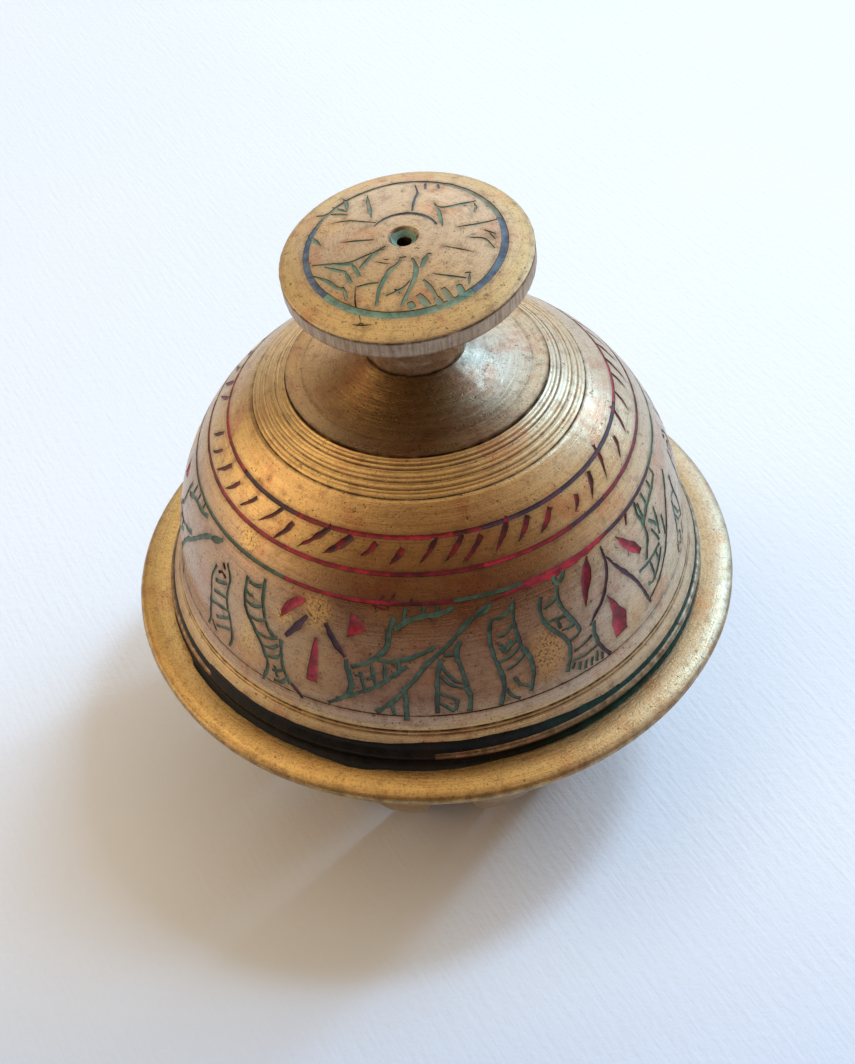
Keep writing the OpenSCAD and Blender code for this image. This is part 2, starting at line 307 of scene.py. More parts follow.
class Engraving:
    """A flat chart cut by strokes and triangulated along every edge, then wrapped onto its surface.

    to_plane(stroke, points) gives chart points in the stroke's own true-size plane, and to_chart goes back.
    wrap(points, depth) gives chart points in space, depth mm under the surface, with their normals."""

    def __init__(self, strokes, to_chart, to_plane, wrap, border, spare, keep_face):
        self.strokes, self.wrap = strokes, wrap
        points, edges = [], []

        def chain(coords, closed):
            start = len(points)
            points.extend(Vector((float(x), float(y))) for x, y in coords)
            n = len(coords)
            edges.extend((start + i, start + (i + 1) % n) for i in range(n if closed else n - 1))

        for loop in border:
            chain(loop, True)
        for s in strokes:
            chain(to_chart(s, s.edge), True)
            middle = s.outline(LAC_EDGE)
            if middle is not None:
                chain(to_chart(s, middle), True)
            if len(s.line) > 2:
                chain(to_chart(s, s.line[1:-1]), False)
        points.extend(Vector(p) for p in spare)
        verts, _, faces, *_ = delaunay_2d_cdt(points, edges, [], 0, 1e-4)
        self.chart = np.array([tuple(v) for v in verts])
        tris = np.array([f for f in faces if len(f) == 3])
        middle = self.chart[tris].mean(1)
        self.tris = tris[keep_face(middle)]
        self.middle = self.chart[self.tris].mean(1)
        a, b, c = (self.chart[self.tris[:, k]] for k in range(3))
        turned_over = (b - a)[:, 0] * (c - a)[:, 1] - (b - a)[:, 1] * (c - a)[:, 0] < 0
        self.tris[turned_over] = self.tris[turned_over][:, ::-1]
        self.measure(to_plane)

    def measure(self, to_plane):
        n = len(self.chart)
        self.depth = np.zeros(n)
        self.lac_depth = np.full(n, FAR)
        self.near = np.full(n, FAR)
        self.colour = np.full(len(self.tris), "", dtype=object)
        best = np.full(len(self.tris), 1e-4)
        self.cut = np.zeros(len(self.tris), bool)
        for s in self.strokes:
            low, high = s.edge.min(0) - 0.8, s.edge.max(0) + 0.8
            flat = to_plane(s, self.chart)
            hit = np.nonzero(((flat > low) & (flat < high)).all(1))[0]
            if len(hit):
                d = s.inside(flat[hit])
                deep = np.clip(d * GROOVE_SLOPE, 0, s.depth)
                deep[d < LEVEL] = 0
                self.depth[hit] = np.maximum(self.depth[hit], deep)
                self.near[hit] = np.minimum(self.near[hit], np.maximum(0, -d))
                if s.colour:
                    lac = LAC_EDGE * GROOVE_SLOPE + s.sink * np.maximum(0, d - LAC_EDGE)
                    lac = np.where(d > LAC_EDGE * 0.8, np.minimum(lac, deep), FAR)
                    self.lac_depth[hit] = np.minimum(self.lac_depth[hit], lac)
            flat = to_plane(s, self.middle)
            hit = np.nonzero(((flat > low) & (flat < high)).all(1))[0]
            if len(hit):
                d = s.inside(flat[hit])
                self.cut[hit[d > 0.003]] = True
                if s.colour:
                    deepest = (d > LAC_EDGE * 0.98) & (d > best[hit])
                    best[hit[deepest]] = d[deepest]
                    self.colour[hit[deepest]] = s.colour
        self.lac_depth = np.minimum(self.lac_depth, self.depth)

    def grime(self, v, most):
        """Dirt fills a cut and fades out beside it."""
        halo = most * max(0, 1 - self.near[v] / 0.35) if self.near[v] < FAR else 0
        return max(min(1, self.depth[v] / 0.1), halo)

    def add_faces(self, shell, ids, step=1):
        """The chart's triangles on a shell: level where the metal is untouched, and grooves in the cuts."""
        for t, cut in zip(self.tris, self.cut):
            level = not cut and self.depth[t].max() < LEVEL
            shell.face([int(ids[v]) for v in t[::step]], "level" if level else "groove")


def lac_shell(engraving, colour):
    """A closed body of lac: its top lies a little below the metal, and its underside is the groove."""
    shell = Shell()
    tris = engraving.tris[engraving.colour == colour]
    used = np.unique(tris)
    tops, normals = engraving.wrap(engraving.chart[used], engraving.lac_depth[used])
    floors, _ = engraving.wrap(engraving.chart[used], engraving.depth[used])
    top, floor = {}, {}
    for k, v in enumerate(used):
        top[v] = shell.vert(tuple(tops[k]), tone=0.5 + 0.5 * noise.noise(Vector(tops[k]) * 0.35))
        shell.fixed[top[v]] = tuple(normals[k])
        deeper = engraving.depth[v] - engraving.lac_depth[v] > LEVEL
        floor[v] = shell.vert(tuple(floors[k])) if deeper else top[v]
    edges = {}
    for t in tris:
        shell.face([top[v] for v in t], "top")
        under = [floor[v] for v in t[::-1]]
        if under != [top[v] for v in t[::-1]]:
            shell.face(under, "under")
        for i in range(3):
            edges[(t[i], t[(i + 1) % 3])] = True
    for a, b in edges:
        if (b, a) not in edges and (top[a] != floor[a] or top[b] != floor[b]):
            shell.face([top[b], top[a], floor[a], floor[b]], "under")
    return shell


# ---------------------------------------------------------------- decoration of the side
# Every stroke is (colour, points as (degrees from the front, s), half-widths). A rail is a long side of a
# ladder-shaped leaf, and a rung crosses it.

RAIL, RUNG, STEM, HAIR = 0.28, 0.235, 0.32, 0.1


def several(colour, width, *lines):
    """Strokes of one colour and width."""
    return [(colour, list(line), width) for line in lines]


LEAF_FAR_LEFT = several(
    "green", RAIL * 0.85,
    [(-59.5, 18), (-60.5, 20), (-60, 23), (-60.5, 26), (-62, 28.4)],
    [(-56, 16.5), (-54, 18), (-54, 21), (-52.5, 23.5), (-52, 26), (-53.5, 28.4)],
) + several(
    "green", RUNG,
    [(-59, 20), (-54.5, 19)], [(-59, 21.5), (-54, 20.8)], [(-59.8, 23.4), (-53, 22.4)],
    [(-58, 25.2), (-53, 23.5)], [(-58.5, 27), (-52.5, 25)], [(-60.5, 26.6), (-58.6, 28)],
) + several("black", RUNG, [(-58.5, 18.7), (-57.4, 18.2), (-55.5, 18.5)], [(-57.5, 16.9), (-56.2, 17.6)])

LEAF_LEFT = several(
    "green", RAIL,
    [(-48.5, 16), (-48.5, 18.5), (-47, 20.5), (-44.5, 22), (-42, 24), (-41, 26.5), (-42.5, 29.4)],
    [(-43.5, 15), (-43, 17.5), (-42, 19.5), (-40.5, 21), (-38.6, 21.6)],
    [(-37, 21.5), (-37, 24), (-36.3, 26.5), (-35, 28)],
) + several(
    "green", RUNG,
    [(-48, 16.5), (-46, 16.5), (-44, 16)], [(-48, 19), (-45.5, 19.1), (-43, 18.5)],
    [(-46, 20.8), (-43.5, 20.5), (-41.5, 20)], [(-44, 22.3), (-41, 22.3), (-38, 21.5)],
    [(-42, 23.8), (-40, 23.5), (-37.5, 22.5)], [(-41, 25), (-39, 24.7), (-37, 23.8)],
    [(-40, 27), (-38.3, 26.8), (-36.5, 26)], [(-39.5, 28.5), (-37.5, 28.3), (-36, 27.3)],
    [(-48.6, 17.4), (-47.3, 18), (-46, 17.8)], [(-39, 26), (-38.6, 27.9)],
) + several("violet", [0.3, 0.3, 0.2], [(-35.3, 27.6), (-33.5, 28.5), (-32, 29.3)])

FLOWER_LEFT = [
    ("red", [(-31.8, 15.2), (-34.5, 16), (-36.5, 17.3), (-37.5, 18.4)], [0.2, 0.6, 0.62, 0.5, 0.15]),
    ("red", [(-28.3, 19.4), (-28.8, 22.5), (-29.5, 26)], [0.22, 0.5, 0.62, 0.72]),
    ("red", [(-20.9, 16.8), (-18.6, 16.9), (-16.6, 17.1)], [1.5, 0.9, 0.08]),
    ("violet", [(-31, 17), (-33.5, 19), (-36, 20.7)], [0.22, 0.44, 0.3]),
    ("violet", [(-26.3, 17.2), (-24, 19.3), (-21.5, 21.1)], [0.3, 0.42, 0.24]),
]

VINE = several(
    "green", STEM,
    [(-10.6, 15.3), (-11.7, 17), (-12, 18.4), (-13, 19.6), (-15, 20.6)],
    [(-20.2, 22.2), (-17, 21.5), (-15, 20.7), (-12, 20.9), (-9, 20.6), (-5, 19.8), (-2, 19)],
    [(-21.3, 21.3), (-21, 23), (-20.5, 25), (-22, 27), (-26, 28.7)],
    [(-24, 27.8), (-20, 26.4), (-16, 25), (-13, 23.7), (-10, 22.3), (-8, 21.4)],
    [(-15.5, 28.7), (-12, 27), (-9, 24.8), (-7, 23.4), (-4, 21.2), (0, 19.3), (4, 17.2), (7.5, 15.8)],
    [(-10.8, 16.8), (-8, 15.9), (-5, 15.3), (0, 15), (3, 14.5)],
    [(-9, 24.3), (-9, 27), (-9, 29.6)],
) + several(
    "green", RUNG,
    [(-20.6, 22.5), (-20, 25.5)], [(-18.3, 22.7), (-17.5, 25.5)], [(-15.8, 21.6), (-15, 24.5)],
    [(-13, 21.2), (-13, 23.6)], [(-9.7, 20.9), (-10, 22)], [(-12.2, 26.6), (-11.5, 28.9)],
    [(-19.6, 23.4), (-18.2, 23.2)], [(-17, 23.6), (-15.6, 23.3)],
    [(-8.5, 15.9), (-7.8, 14.1)], [(-4.1, 15.2), (-3.8, 14)], [(-0.9, 15), (-0.5, 14)],
) + [("green", [(6.6, 16.1), (9.5, 15.5), (12, 14.7)], [0.15, 0.5, 0.2])]

FEATHER = several(
    "green", RAIL,
    [(-1, 20.5), (-2, 23), (-2.3, 25), (-2.7, 28.6)],
    [(3.5, 18.5), (2.5, 20.5), (3.3, 22.5), (4, 25), (4.5, 27), (4, 28.8)],
) + several(
    "green", RUNG,
    [(-0.4, 20.1), (2.3, 20.3)], [(-1, 21.5), (1, 23.4), (3.5, 24.5)], [(-1.3, 22.8), (1, 24.4), (4, 25.2)],
    [(-2, 25.3), (2, 27)], [(-2.2, 27), (1, 28.5)], [(1.8, 26.9), (1.2, 28.4)], [(2.6, 19.2), (2.2, 20.4)],
)

LEAF_MIDDLE = several(
    "green", RAIL,
    [(11, 16.5), (10, 18), (10, 20.5), (11, 23), (11.7, 25), (11.3, 27.5), (10.5, 28.8)],
    [(16.5, 15.3), (15.8, 17), (15.8, 19), (16.5, 21), (18, 23), (18.3, 25), (18, 26.5), (17.3, 28)],
) + several(
    "green", RUNG,
    [(11.5, 16.8), (13.5, 16.7), (16, 16)], [(11.5, 19), (13.5, 18.8), (15.5, 18)],
    [(11.5, 20.4), (13.5, 20.6), (15.8, 20)], [(11, 22.3), (13.5, 22), (16, 21)],
    [(12.5, 23.7), (14.6, 23.2), (16.8, 22.2)], [(14, 25), (15.4, 26.5), (17.5, 27.3)],
    [(12, 26.5), (13.3, 27.9), (15, 28.6)], [(11.8, 20), (13, 21.2), (14.4, 19.8)],
)

LEAF_RIGHT = several(
    "green", RAIL,
    [(23, 16), (22, 17.5), (22.5, 19), (24, 20.5), (26, 22), (27.3, 23.5), (27, 25.5), (26, 27.6)],
    [(27.3, 15.5), (27, 17.5), (28, 19.5), (29.5, 21), (30.4, 22.4)],
    [(27.6, 14.3), (27.6, 15.2), (29, 15.2), (30.3, 14.3)],
) + several(
    "green", RUNG,
    [(23, 17.6), (25, 17.3), (27, 16.9)], [(23, 19.3), (25.5, 19.5), (28, 19.4)],
    [(26, 21.2), (28, 21.3), (30, 21)], [(27.5, 23), (29.2, 22.9), (30.5, 22.3)],
    [(28, 24.8), (30.5, 24.6), (33, 24)], [(27.5, 26.2), (31, 26.4), (34.5, 26)],
    [(27.4, 27.6), (28, 26.6)], [(28.9, 28.2), (29.4, 27)], [(30.6, 28.5), (31, 27.3)],
    [(32.2, 28.6), (32.6, 27.4)], [(25.2, 19.2), (26, 20.9)],
    [(33.7, 28.5), (34.1, 26.9)], [(35.1, 28.7), (35.3, 27.6)],
) + several("green", RAIL, [(34, 22.3), (33.8, 24), (34.5, 26)]) + several(
    "violet", RAIL, [(34.4, 25.8), (35.5, 27), (37.5, 28.8)])

FLOWER_RIGHT = [
    ("maroon", [(37.3, 14.4), (35.5, 16.3), (34, 18), (33, 19.8)], [0.1, 0.68, 0.72, 0.45, 0.08]),
    ("red", [(39, 20.3), (40.3, 22.5), (41, 24.5), (41.5, 27.2)], [0.08, 0.6, 1.25, 1.0]),
    ("red", [(47, 15), (49, 16.8), (51, 18), (52.5, 19.2)], [0.1, 0.5, 0.66, 0.4]),
    ("maroon", [(52.9, 13.9), (51.5, 15.1)], [0.3, 0.1]),
    ("violet", [(42, 14.5), (41.3, 17), (40, 18.5), (37.5, 20.5), (35, 21.5), (33, 22.7)],
     [0.16, 0.26, 0.3, 0.16]),
    ("violet", [(42, 16), (44, 18), (46, 19.7), (48, 21.5), (49.5, 23.3), (51, 25.5), (52.5, 27.3)],
     [0.16, 0.3, 0.26, 0.2]),
]

VINE_RIGHT = several(
    "green", RAIL,
    [(57.5, 14), (56.5, 15.5), (56.8, 17), (56.5, 18.5), (54.5, 20), (53.3, 21)],
    [(57, 17), (61, 16), (66, 15.5), (70, 15)],
    [(50, 21.3), (54, 21.5), (60, 21.3)],
    [(52, 26.6), (55, 26), (58, 25), (62, 23), (66, 20.5), (70, 18.5), (75, 16.6)],
    [(52, 24), (53.5, 24.6), (56, 24), (60, 22)],
) + several(
    "green", RUNG,
    [(57.6, 16.8), (58.2, 14.4)], [(61, 16), (61.2, 14.2)], [(65.5, 15.5), (65.8, 14.1)],
    [(70, 15), (70, 14)], [(54.5, 21.6), (55, 24.2)], [(57.5, 21.6), (58, 23)], [(59, 17.4), (62, 19.5)],
    [(63, 17), (61, 20.6)], [(58.6, 18.6), (60.4, 21)], [(64.5, 19), (63.5, 21.6)],
)

TICKS = several("maroon", [0.1, 0.22, 0.06], [(-13, 12.9), (-15, 14.5)], [(-10.4, 12.6), (-12.2, 14.6)],
                [(-6.4, 13.1), (-7.2, 14.2)], [(-15.6, 14.1), (-11.6, 14.5)])

# Slashes between the upper two lines: (degrees, s) at the top, the same at the foot, half-width
FRONT_SLASHES = [
    (-84.5, 7.2, -89, 9.4, 0.26), (-79, 8, -83, 9.8, 0.28), (-71, 7.5, -76, 10, 0.3),
    (-64, 7.8, -68, 10, 0.3), (-55.5, 7.5, -60, 9.8, 0.3), (-45.5, 6.6, -51.5, 9.5, 0.3),
    (-40.5, 7.5, -45, 10.2, 0.36), (-29, 6.2, -37.5, 9.8, 0.34), (-22.5, 6.8, -30, 9.5, 0.5),
    (-15.5, 7.1, -19.5, 8.8, 0.36), (-8.5, 7.5, -12, 9.4, 0.36), (1, 6.4, -4.5, 9.4, 0.3),
    (8, 6.6, 2, 9.4, 0.32), (13, 7.1, 7, 9.7, 0.34), (21.5, 6.1, 15, 9.5, 0.36),
    (27, 6.9, 21.5, 9.3, 0.34), (34, 7.3, 28, 9.5, 0.36), (43, 7.9, 40, 9.5, 0.32),
    (51, 7, 46.5, 9.6, 0.34), (59, 5.6, 54, 9.5, 0.3), (67.5, 7.4, 63, 9.5, 0.32),
    (77, 6, 72, 9.2, 0.3), (85, 6.4, 81, 9, 0.3), (93, 6.5, 90, 9, 0.3),
]

# Colour of each turned line, from each angle up to the next
UPPER_COLOURS = [(-184, "maroon"), (-150, "violet"), (-112, "red"), (-65, "violet"), (-41, "red"),
                 (5, "maroon"), (14, "violet"), (80, "red"), (120, "maroon"), (184, "")]
LOWER_COLOURS = [(-184, "maroon"), (-70, "red"), (-12, "maroon"), (12, "red"), (37, "violet"),
                 (50, "maroon"), (184, "")]
BORDER_COLOURS = [(-184, "green"), (-39, "red"), (-12, "maroon"), (3, "green"), (20, "red"),
                  (45, "violet"), (70, "green"), (184, "")]


def slash(a0, s0, a1, s1, width, bow=0.0):
    """One slash from its broad top to its pointed foot."""
    middle = ((a0 + a1) / 2 + bow, (s0 + s1) / 2)
    return "slash", [(a0, s0), middle, (a1, s1)], [width * 0.9, width, width * 0.7, 0.05]


def line_arcs(s, colours, half):
    """A turned line as arcs that overlap by a degree, so that the groove runs through."""
    out = []
    for (start, colour), (end, _) in zip(colours, colours[1:]):
        count = max(2, int((end - start) / 6))
        points = [(start - 0.5 + (end - start + 1) * i / count, s) for i in range(count + 1)]
        out.append((colour, points, half))
    return out


def shifted(strokes, angle, jitter):
    """The same cuts further round, each a little different, as a hand makes them."""
    out = []
    for colour, points, width in strokes:
        da, ds = rng.uniform(-jitter, jitter), rng.uniform(-0.5, 0.5) * jitter
        out.append((colour, [(a + angle + da, s + ds * 0.4) for a, s in points], width))
    return out


def side_strokes():
    motif = LEAF_FAR_LEFT + LEAF_LEFT + FLOWER_LEFT + VINE + FEATHER
    strokes = list(motif) + LEAF_MIDDLE + LEAF_RIGHT + FLOWER_RIGHT + VINE_RIGHT + TICKS
    for angle in (144, 216):
        strokes += shifted(motif, angle, 0.5)
    strokes += shifted(LEAF_LEFT + FLOWER_LEFT + VINE, -72, 0.4)
    strokes += shifted(FEATHER, 73, 0.4)
    strokes += [slash(*row, bow=0.45) for row in FRONT_SLASHES]
    angle = 100.0
    while angle < 266:
        top, low = 6.8 + rng.uniform(-0.4, 0.5), 9.5 + rng.uniform(-0.3, 0.3)
        lean, width = rng.uniform(3.8, 6), rng.uniform(0.28, 0.38)
        strokes.append(slash(angle, top, angle - lean, low, width, bow=lean * 0.05))
        angle += rng.uniform(6.6, 7.5)
    strokes += line_arcs(S_UPPER, UPPER_COLOURS, 0.275)
    strokes += line_arcs(S_LOWER, LOWER_COLOURS, 0.275)
    strokes += line_arcs(S_BORDER, BORDER_COLOURS, 0.26)
    strokes += line_arcs(S_FINE, [(-184, ""), (184, "")], HAIR)
    strokes.append(("red", [(11.5, 14.5), (20, 14.15), (30, 14.1), (40, 13.9), (47, 13.6)],
                    [0.1, 0.36, 0.42, 0.3, 0.1]))
    return strokes


# ---------------------------------------------------------------- side of the bell as an engraving

CHART_R = 28.0                              # the side's chart is (radians times this, s)
HALF_CHART = math.pi * CHART_R


def make_side_strokes():
    """Strokes in their own true-size planes; those that reach the back seam are on both sides of it."""
    out = []
    for number, (colour, points, width) in enumerate(side_strokes()):
        low, high = min(a for a, _ in points), max(a for a, _ in points)
        middle = (low + high) / 2
        turns = [0]
        if high - low < 300:
            turns = [0 if -180 < middle <= 180 else (-360 if middle > 180 else 360)]
            if high + turns[0] > 176:
                turns.append(turns[0] - 360)
            if low + turns[0] < -176:
                turns.append(turns[0] + 360)
        r = side_point(sum(s for _, s in points) / len(points))[0]
        widest = float(np.max(width))
        depth, sink, hand = (0.75, 0.42, 0.3) if widest > BROAD else (0.42, 0.25, 1)
        if points[0][1] == points[-1][1]:
            hand = 0                        # turned lines are true
        if widest <= HAIR:
            depth = 0.12
        for turn in turns:
            flat = [(math.radians(a + turn) * r, s) for a, s in points]
            out.append(Stroke(colour, flat, width, depth=depth, sink=sink, hand=hand, seed=number))
            out[-1].r = r
    return out


def wrap_side(points, depth):
    """Chart points of the side in space, depth mm under its surface, with their normals."""
    out, normals = [], []
    for (x, s), d in zip(points, depth):
        r, z, nr, nz = side_point(float(s))
        t = x / CHART_R
        out.append(((r - d * nr) * math.sin(t), -(r - d * nr) * math.cos(t), z - d * nz + LIFT))
        normals.append((nr * math.sin(t), -nr * math.cos(t), nz))
    return np.array(out), np.array(normals)


# Punched, golden and rubbed patches: (degrees, s, half-width in mm, half-height in mm, strength)
PATCHES = [(-28.5, 16.2, 2.2, 2.6, 1.0), (-36.5, 18.2, 1.3, 1.2, 0.9), (-29, 23.5, 3.4, 4.0, 0.35),
           (-13.5, 14.8, 2.0, 1.0, 0.5), (22, 23.5, 2.3, 4.4, 1.0), (-46.5, 24.5, 2.0, 4.0, 0.5),
           (-51.8, 11.9, 2.0, 1.6, 1.0), (15, 26.3, 1.2, 1.4, 0.6), (44, 25.5, 3.0, 3.0, 0.25),
           (116, 16.2, 2.2, 2.6, 1.0), (187, 16.2, 2.2, 2.6, 1.0), (-101, 16.2, 2.2, 2.6, 0.8)]


def matting(theta, s):
    """How strongly the place lies in a patch, 0 to 1."""
    best = 0
    for a, s0, w, h, strength in PATCHES:
        da = (theta - a + 180) % 360 - 180
        u = math.radians(da) * 29 / w
        v = (s - s0) / h
        best = max(best, strength * max(0, 1.25 - math.hypot(u, v)) / 1.25 * 1.6)
    return min(1, best)


def patina(theta, s):
    """Brown on the front of the bell, between its upper line and the cove: a painted dark reflection of the
    shaded floor in front.
    """
    return math.exp(-((theta - 2) / 33) ** 4) * min(1, max(0, (s - 6) / 8)) * min(1, max(0, (30 - s) / 3.5))


def engrave_side():
    down_steps = 40
    rows = [(-HALF_CHART + 2 * HALF_CHART * i / TURNS, BAND_TOP) for i in range(TURNS + 1)]
    rows += [(HALF_CHART, BAND_TOP + (BAND_END - BAND_TOP) * i / down_steps) for i in range(1, down_steps)]
    rows += [(HALF_CHART - 2 * HALF_CHART * i / TURNS, BAND_END) for i in range(TURNS + 1)]
    rows += [(-HALF_CHART, BAND_END - (BAND_END - BAND_TOP) * i / down_steps) for i in range(1, down_steps)]
    spare = []
    across, down = 228, 31
    for i in range(across):
        for j in range(1, down):
            x = -HALF_CHART + 2 * HALF_CHART * (i + 0.5 * (j % 2) + 0.25) / across
            spare.append((x, BAND_TOP + (BAND_END - BAND_TOP) * j / down))
    return Engraving(
        make_side_strokes(),
        to_chart=lambda s, p: np.stack([p[:, 0] * CHART_R / s.r, p[:, 1]], 1),
        to_plane=lambda s, p: np.stack([p[:, 0] * s.r / CHART_R, p[:, 1]], 1),
        wrap=wrap_side, border=[rows], spare=spare,
        keep_face=lambda m: (abs(m[:, 0]) < HALF_CHART) & (m[:, 1] > BAND_TOP) & (m[:, 1] < BAND_END))


# ---------------------------------------------------------------- body

def flare_outline():
    """Concave crown from the knob's seat to its sharp edge."""
    top = math.degrees(math.acos((FLARE_R - DOME_C[0]) / DOME_R))
    end_z = dome_point(top)[1] + 0.35
    out = []
    n = 44
    for i in range(n + 1):
        u = i / n
        r = SEAT_R + (FLARE_R - SEAT_R) * u
        line = math.exp(-((u - 0.80) / 0.016) ** 2)
        z = SEAT_Z + (end_z - SEAT_Z) * u - 3.0 * u * (1 - u) - 0.03 * line
        # Darker towards the knob's seat: painted shade under the disc. The fine line is grime in its groove.
        grime = min(1, 0.3 * (1 - u) ** 4 + 0.1 * (1 - u) + 0.25 * line + 0.4 * max(0, u - 0.96) / 0.04)
        out.append((r, z, {"grime": grime, "tone": 0.7, "patina": 0.3}))
    return out


def ridge_outline():
    """Fine turned ridges, uneven as a hand-held tool leaves them."""
    a0 = math.acos((FLARE_R - DOME_C[0]) / DOME_R)
    a1 = math.acos((RIDGES_R - DOME_C[0]) / DOME_R)
    cuts = [0.015, 0.10, 0.20, 0.31, 0.39, 0.50, 0.60, 0.66, 0.77, 0.87, 0.985]
    deep = [0.18, 0.04, 0.08, 0.11, 0.03, 0.05, 0.10, 0.035, 0.09, 0.04, 0.15]
    out = []
    n = 96
    for i in range(n + 1):
        u = i / n
        sink = sum(d * math.exp(-((u - c) / 0.019) ** 2) for c, d in zip(cuts, deep))
        a = a0 + (a1 - a0) * u
        r = DOME_C[0] + (DOME_R - sink) * math.cos(a)
        z = DOME_C[1] + (DOME_R - sink) * math.sin(a)
        out.append((r, z, {"grime": min(1, sink * 4.5), "tone": 0.8, "matted": 0.1}))
    return out


def shoulder_outline():
    """Smooth dome between the ridges and the engraved chart."""
    start = TOP_ANGLE - math.degrees(BAND_TOP / DOME_R)
    a1 = math.degrees(math.acos((RIDGES_R - DOME_C[0]) / DOME_R))
    return [(*dome_point(a1 + (start - a1) * i / 10), {"tone": 0.7}) for i in range(1, 10)]


# The rim's upper face, from the groove to its edge
FLANGE = [(33.95, 0.8), (34.5, 0.83), (35.1, 0.86), (35.6, 0.85), (36.1, 0.79), (36.6, 0.68), (37.0, 0.54)]


def on_arc(centre, radius, degrees):
    a = math.radians(degrees)
    return centre[0] + radius * math.cos(a), centre[1] + radius * math.sin(a)


def foot_outline():
    """Cove under the chart, the fine double line, the two grooves beside the bead, the rim and its edge."""
    out = []
    z_start = side_point(BAND_END)[1]
    for i in range(1, 41):
        z = z_start - (z_start - COVE_FOOT_Z) * i / 40
        fine = 0.8 * math.exp(-((z - 5.35) / 0.12) ** 2) + 0.6 * math.exp(-((z - 4.95) / 0.1) ** 2)
        grime = min(1, fine + max(0, (4.3 - z) * 0.35))
        out.append((cove_r(z) - 0.12 * fine, z, {"grime": grime, "tone": 0.75}))
    dark = {"grime": 1.0, "tone": 0.2}
    foot_r = cove_r(COVE_FOOT_Z)
    out += [(foot_r - 0.1, COVE_FOOT_Z - 0.1, dark), (foot_r - 0.6, COVE_FOOT_Z - 0.17, dark),
            (BEAD_C[0] - 0.55, BEAD_C[1] + 0.5, dark)]
    for angle in range(70, -71, -14):
        out.append((*on_arc(BEAD_C, BEAD_R, angle), {"grime": 0.5, "tone": 0.3}))
    out += [(BEAD_C[0] - 0.25, 1.6, dark), (BEAD_C[0] - 0.1, 0.85, dark)]
    out.append((33.6, 0.82, {"grime": 0.7, "tone": 0.6}))
    out += [(r, z, {"tone": 1.0, "matted": 0.35}) for r, z in FLANGE]
    edge_r = 0.75
    edge_c = (RIM_R - edge_r, -0.36)
    for angle in range(68, -96, -11):
        worn = {"tone": 0.9, "matted": 0.2, "grime": 0.35 if -20 < angle < 40 else 0.25}
        out.append((*on_arc(edge_c, edge_r, angle), worn))
    return out


def inner_outline():
    """Underside of the rim, the as-cast inside and the seat for the washer."""
    # The rim's underside and the inside are darkened: painted shade under the bell.
    under = {"grime": 0.45, "tone": 0.5}
    inside = {"grime": 0.6, "tone": 0.2}
    r_in = DOME_R - WALL
    out = [(35.5, -1.42, under), (34.3, -1.2, under), (31.6, -1.2, under), (30.5, -1.05, under),
           (30.25, -0.6, inside), (29.95, 1.4, inside), (29.5, 4.0, inside)]
    a0, a1 = math.asin((COVE_Z - DOME_C[1]) / r_in), math.asin((CROWN_UNDER_Z - DOME_C[1]) / r_in)
    for i in range(1, 17):
        a = a0 + (a1 - a0) * i / 16
        out.append((DOME_C[0] + r_in * math.cos(a), DOME_C[1] + r_in * math.sin(a), inside))
    return out + [(CROWN_HOLE_R, CROWN_UNDER_Z, inside)]


def rim_wave(theta):
    """How far the rim's edge is out of round."""
    t = math.radians(theta)
    dents = noise.noise(Vector((math.cos(t) * 6, math.sin(t) * 6, 2)))
    return 0.05 * math.sin(3 * t + 1.0) + 0.04 * math.sin(7 * t) + 0.03 * dents


def wave_rim(shell, rings):
    """Moves the rim's rings a little out of round."""
    for ring in rings:
        for k, v in enumerate(ring):
            x, y, z = shell.verts[v]
            r = math.hypot(x, y)
            if z < LIFT + 1.0 and r > RIM_WAVE_R:
                grow = 1 + rim_wave(-180 + 360 * k / TURNS) * (r - RIM_WAVE_R) / 4 / r
                shell.verts[v] = (x * grow, y * grow, z)


def paint_sheen_right_side(shell):
    """Paints the bell paler towards +X as a painted window sheen, and paints its crown's flare browner
    towards -X as painted shade.
    """
    for v, (x, y, z) in enumerate(shell.verts):
        theta = math.degrees(math.atan2(x, -y))
        on_flare = math.hypot(x, y) < FLARE_R and z > LIFT + CREST_Z
        # Painted window sheen: pale brass, strongest towards +X where the window is mirrored.
        pale_share = math.exp(-((theta - 78) / 52) ** 4)
        share = 0.85 if z > LIFT + CREST_Z else 0.6
        if z < LIFT + 3 or on_flare:
            share = 1.0
        shell.layers["pale"][v] = pale_share * share
        if on_flare:
            # More brown on the flare towards -X is painted shade, and less brown under the painted sheen
            # towards +X.
            shell.layers["patina"][v] += 0.35 * math.exp(-((theta + 75) / 60) ** 4) - 0.3 * pale_share
        shell.layers["tone"][v] *= 1 - 0.4 * pale_share


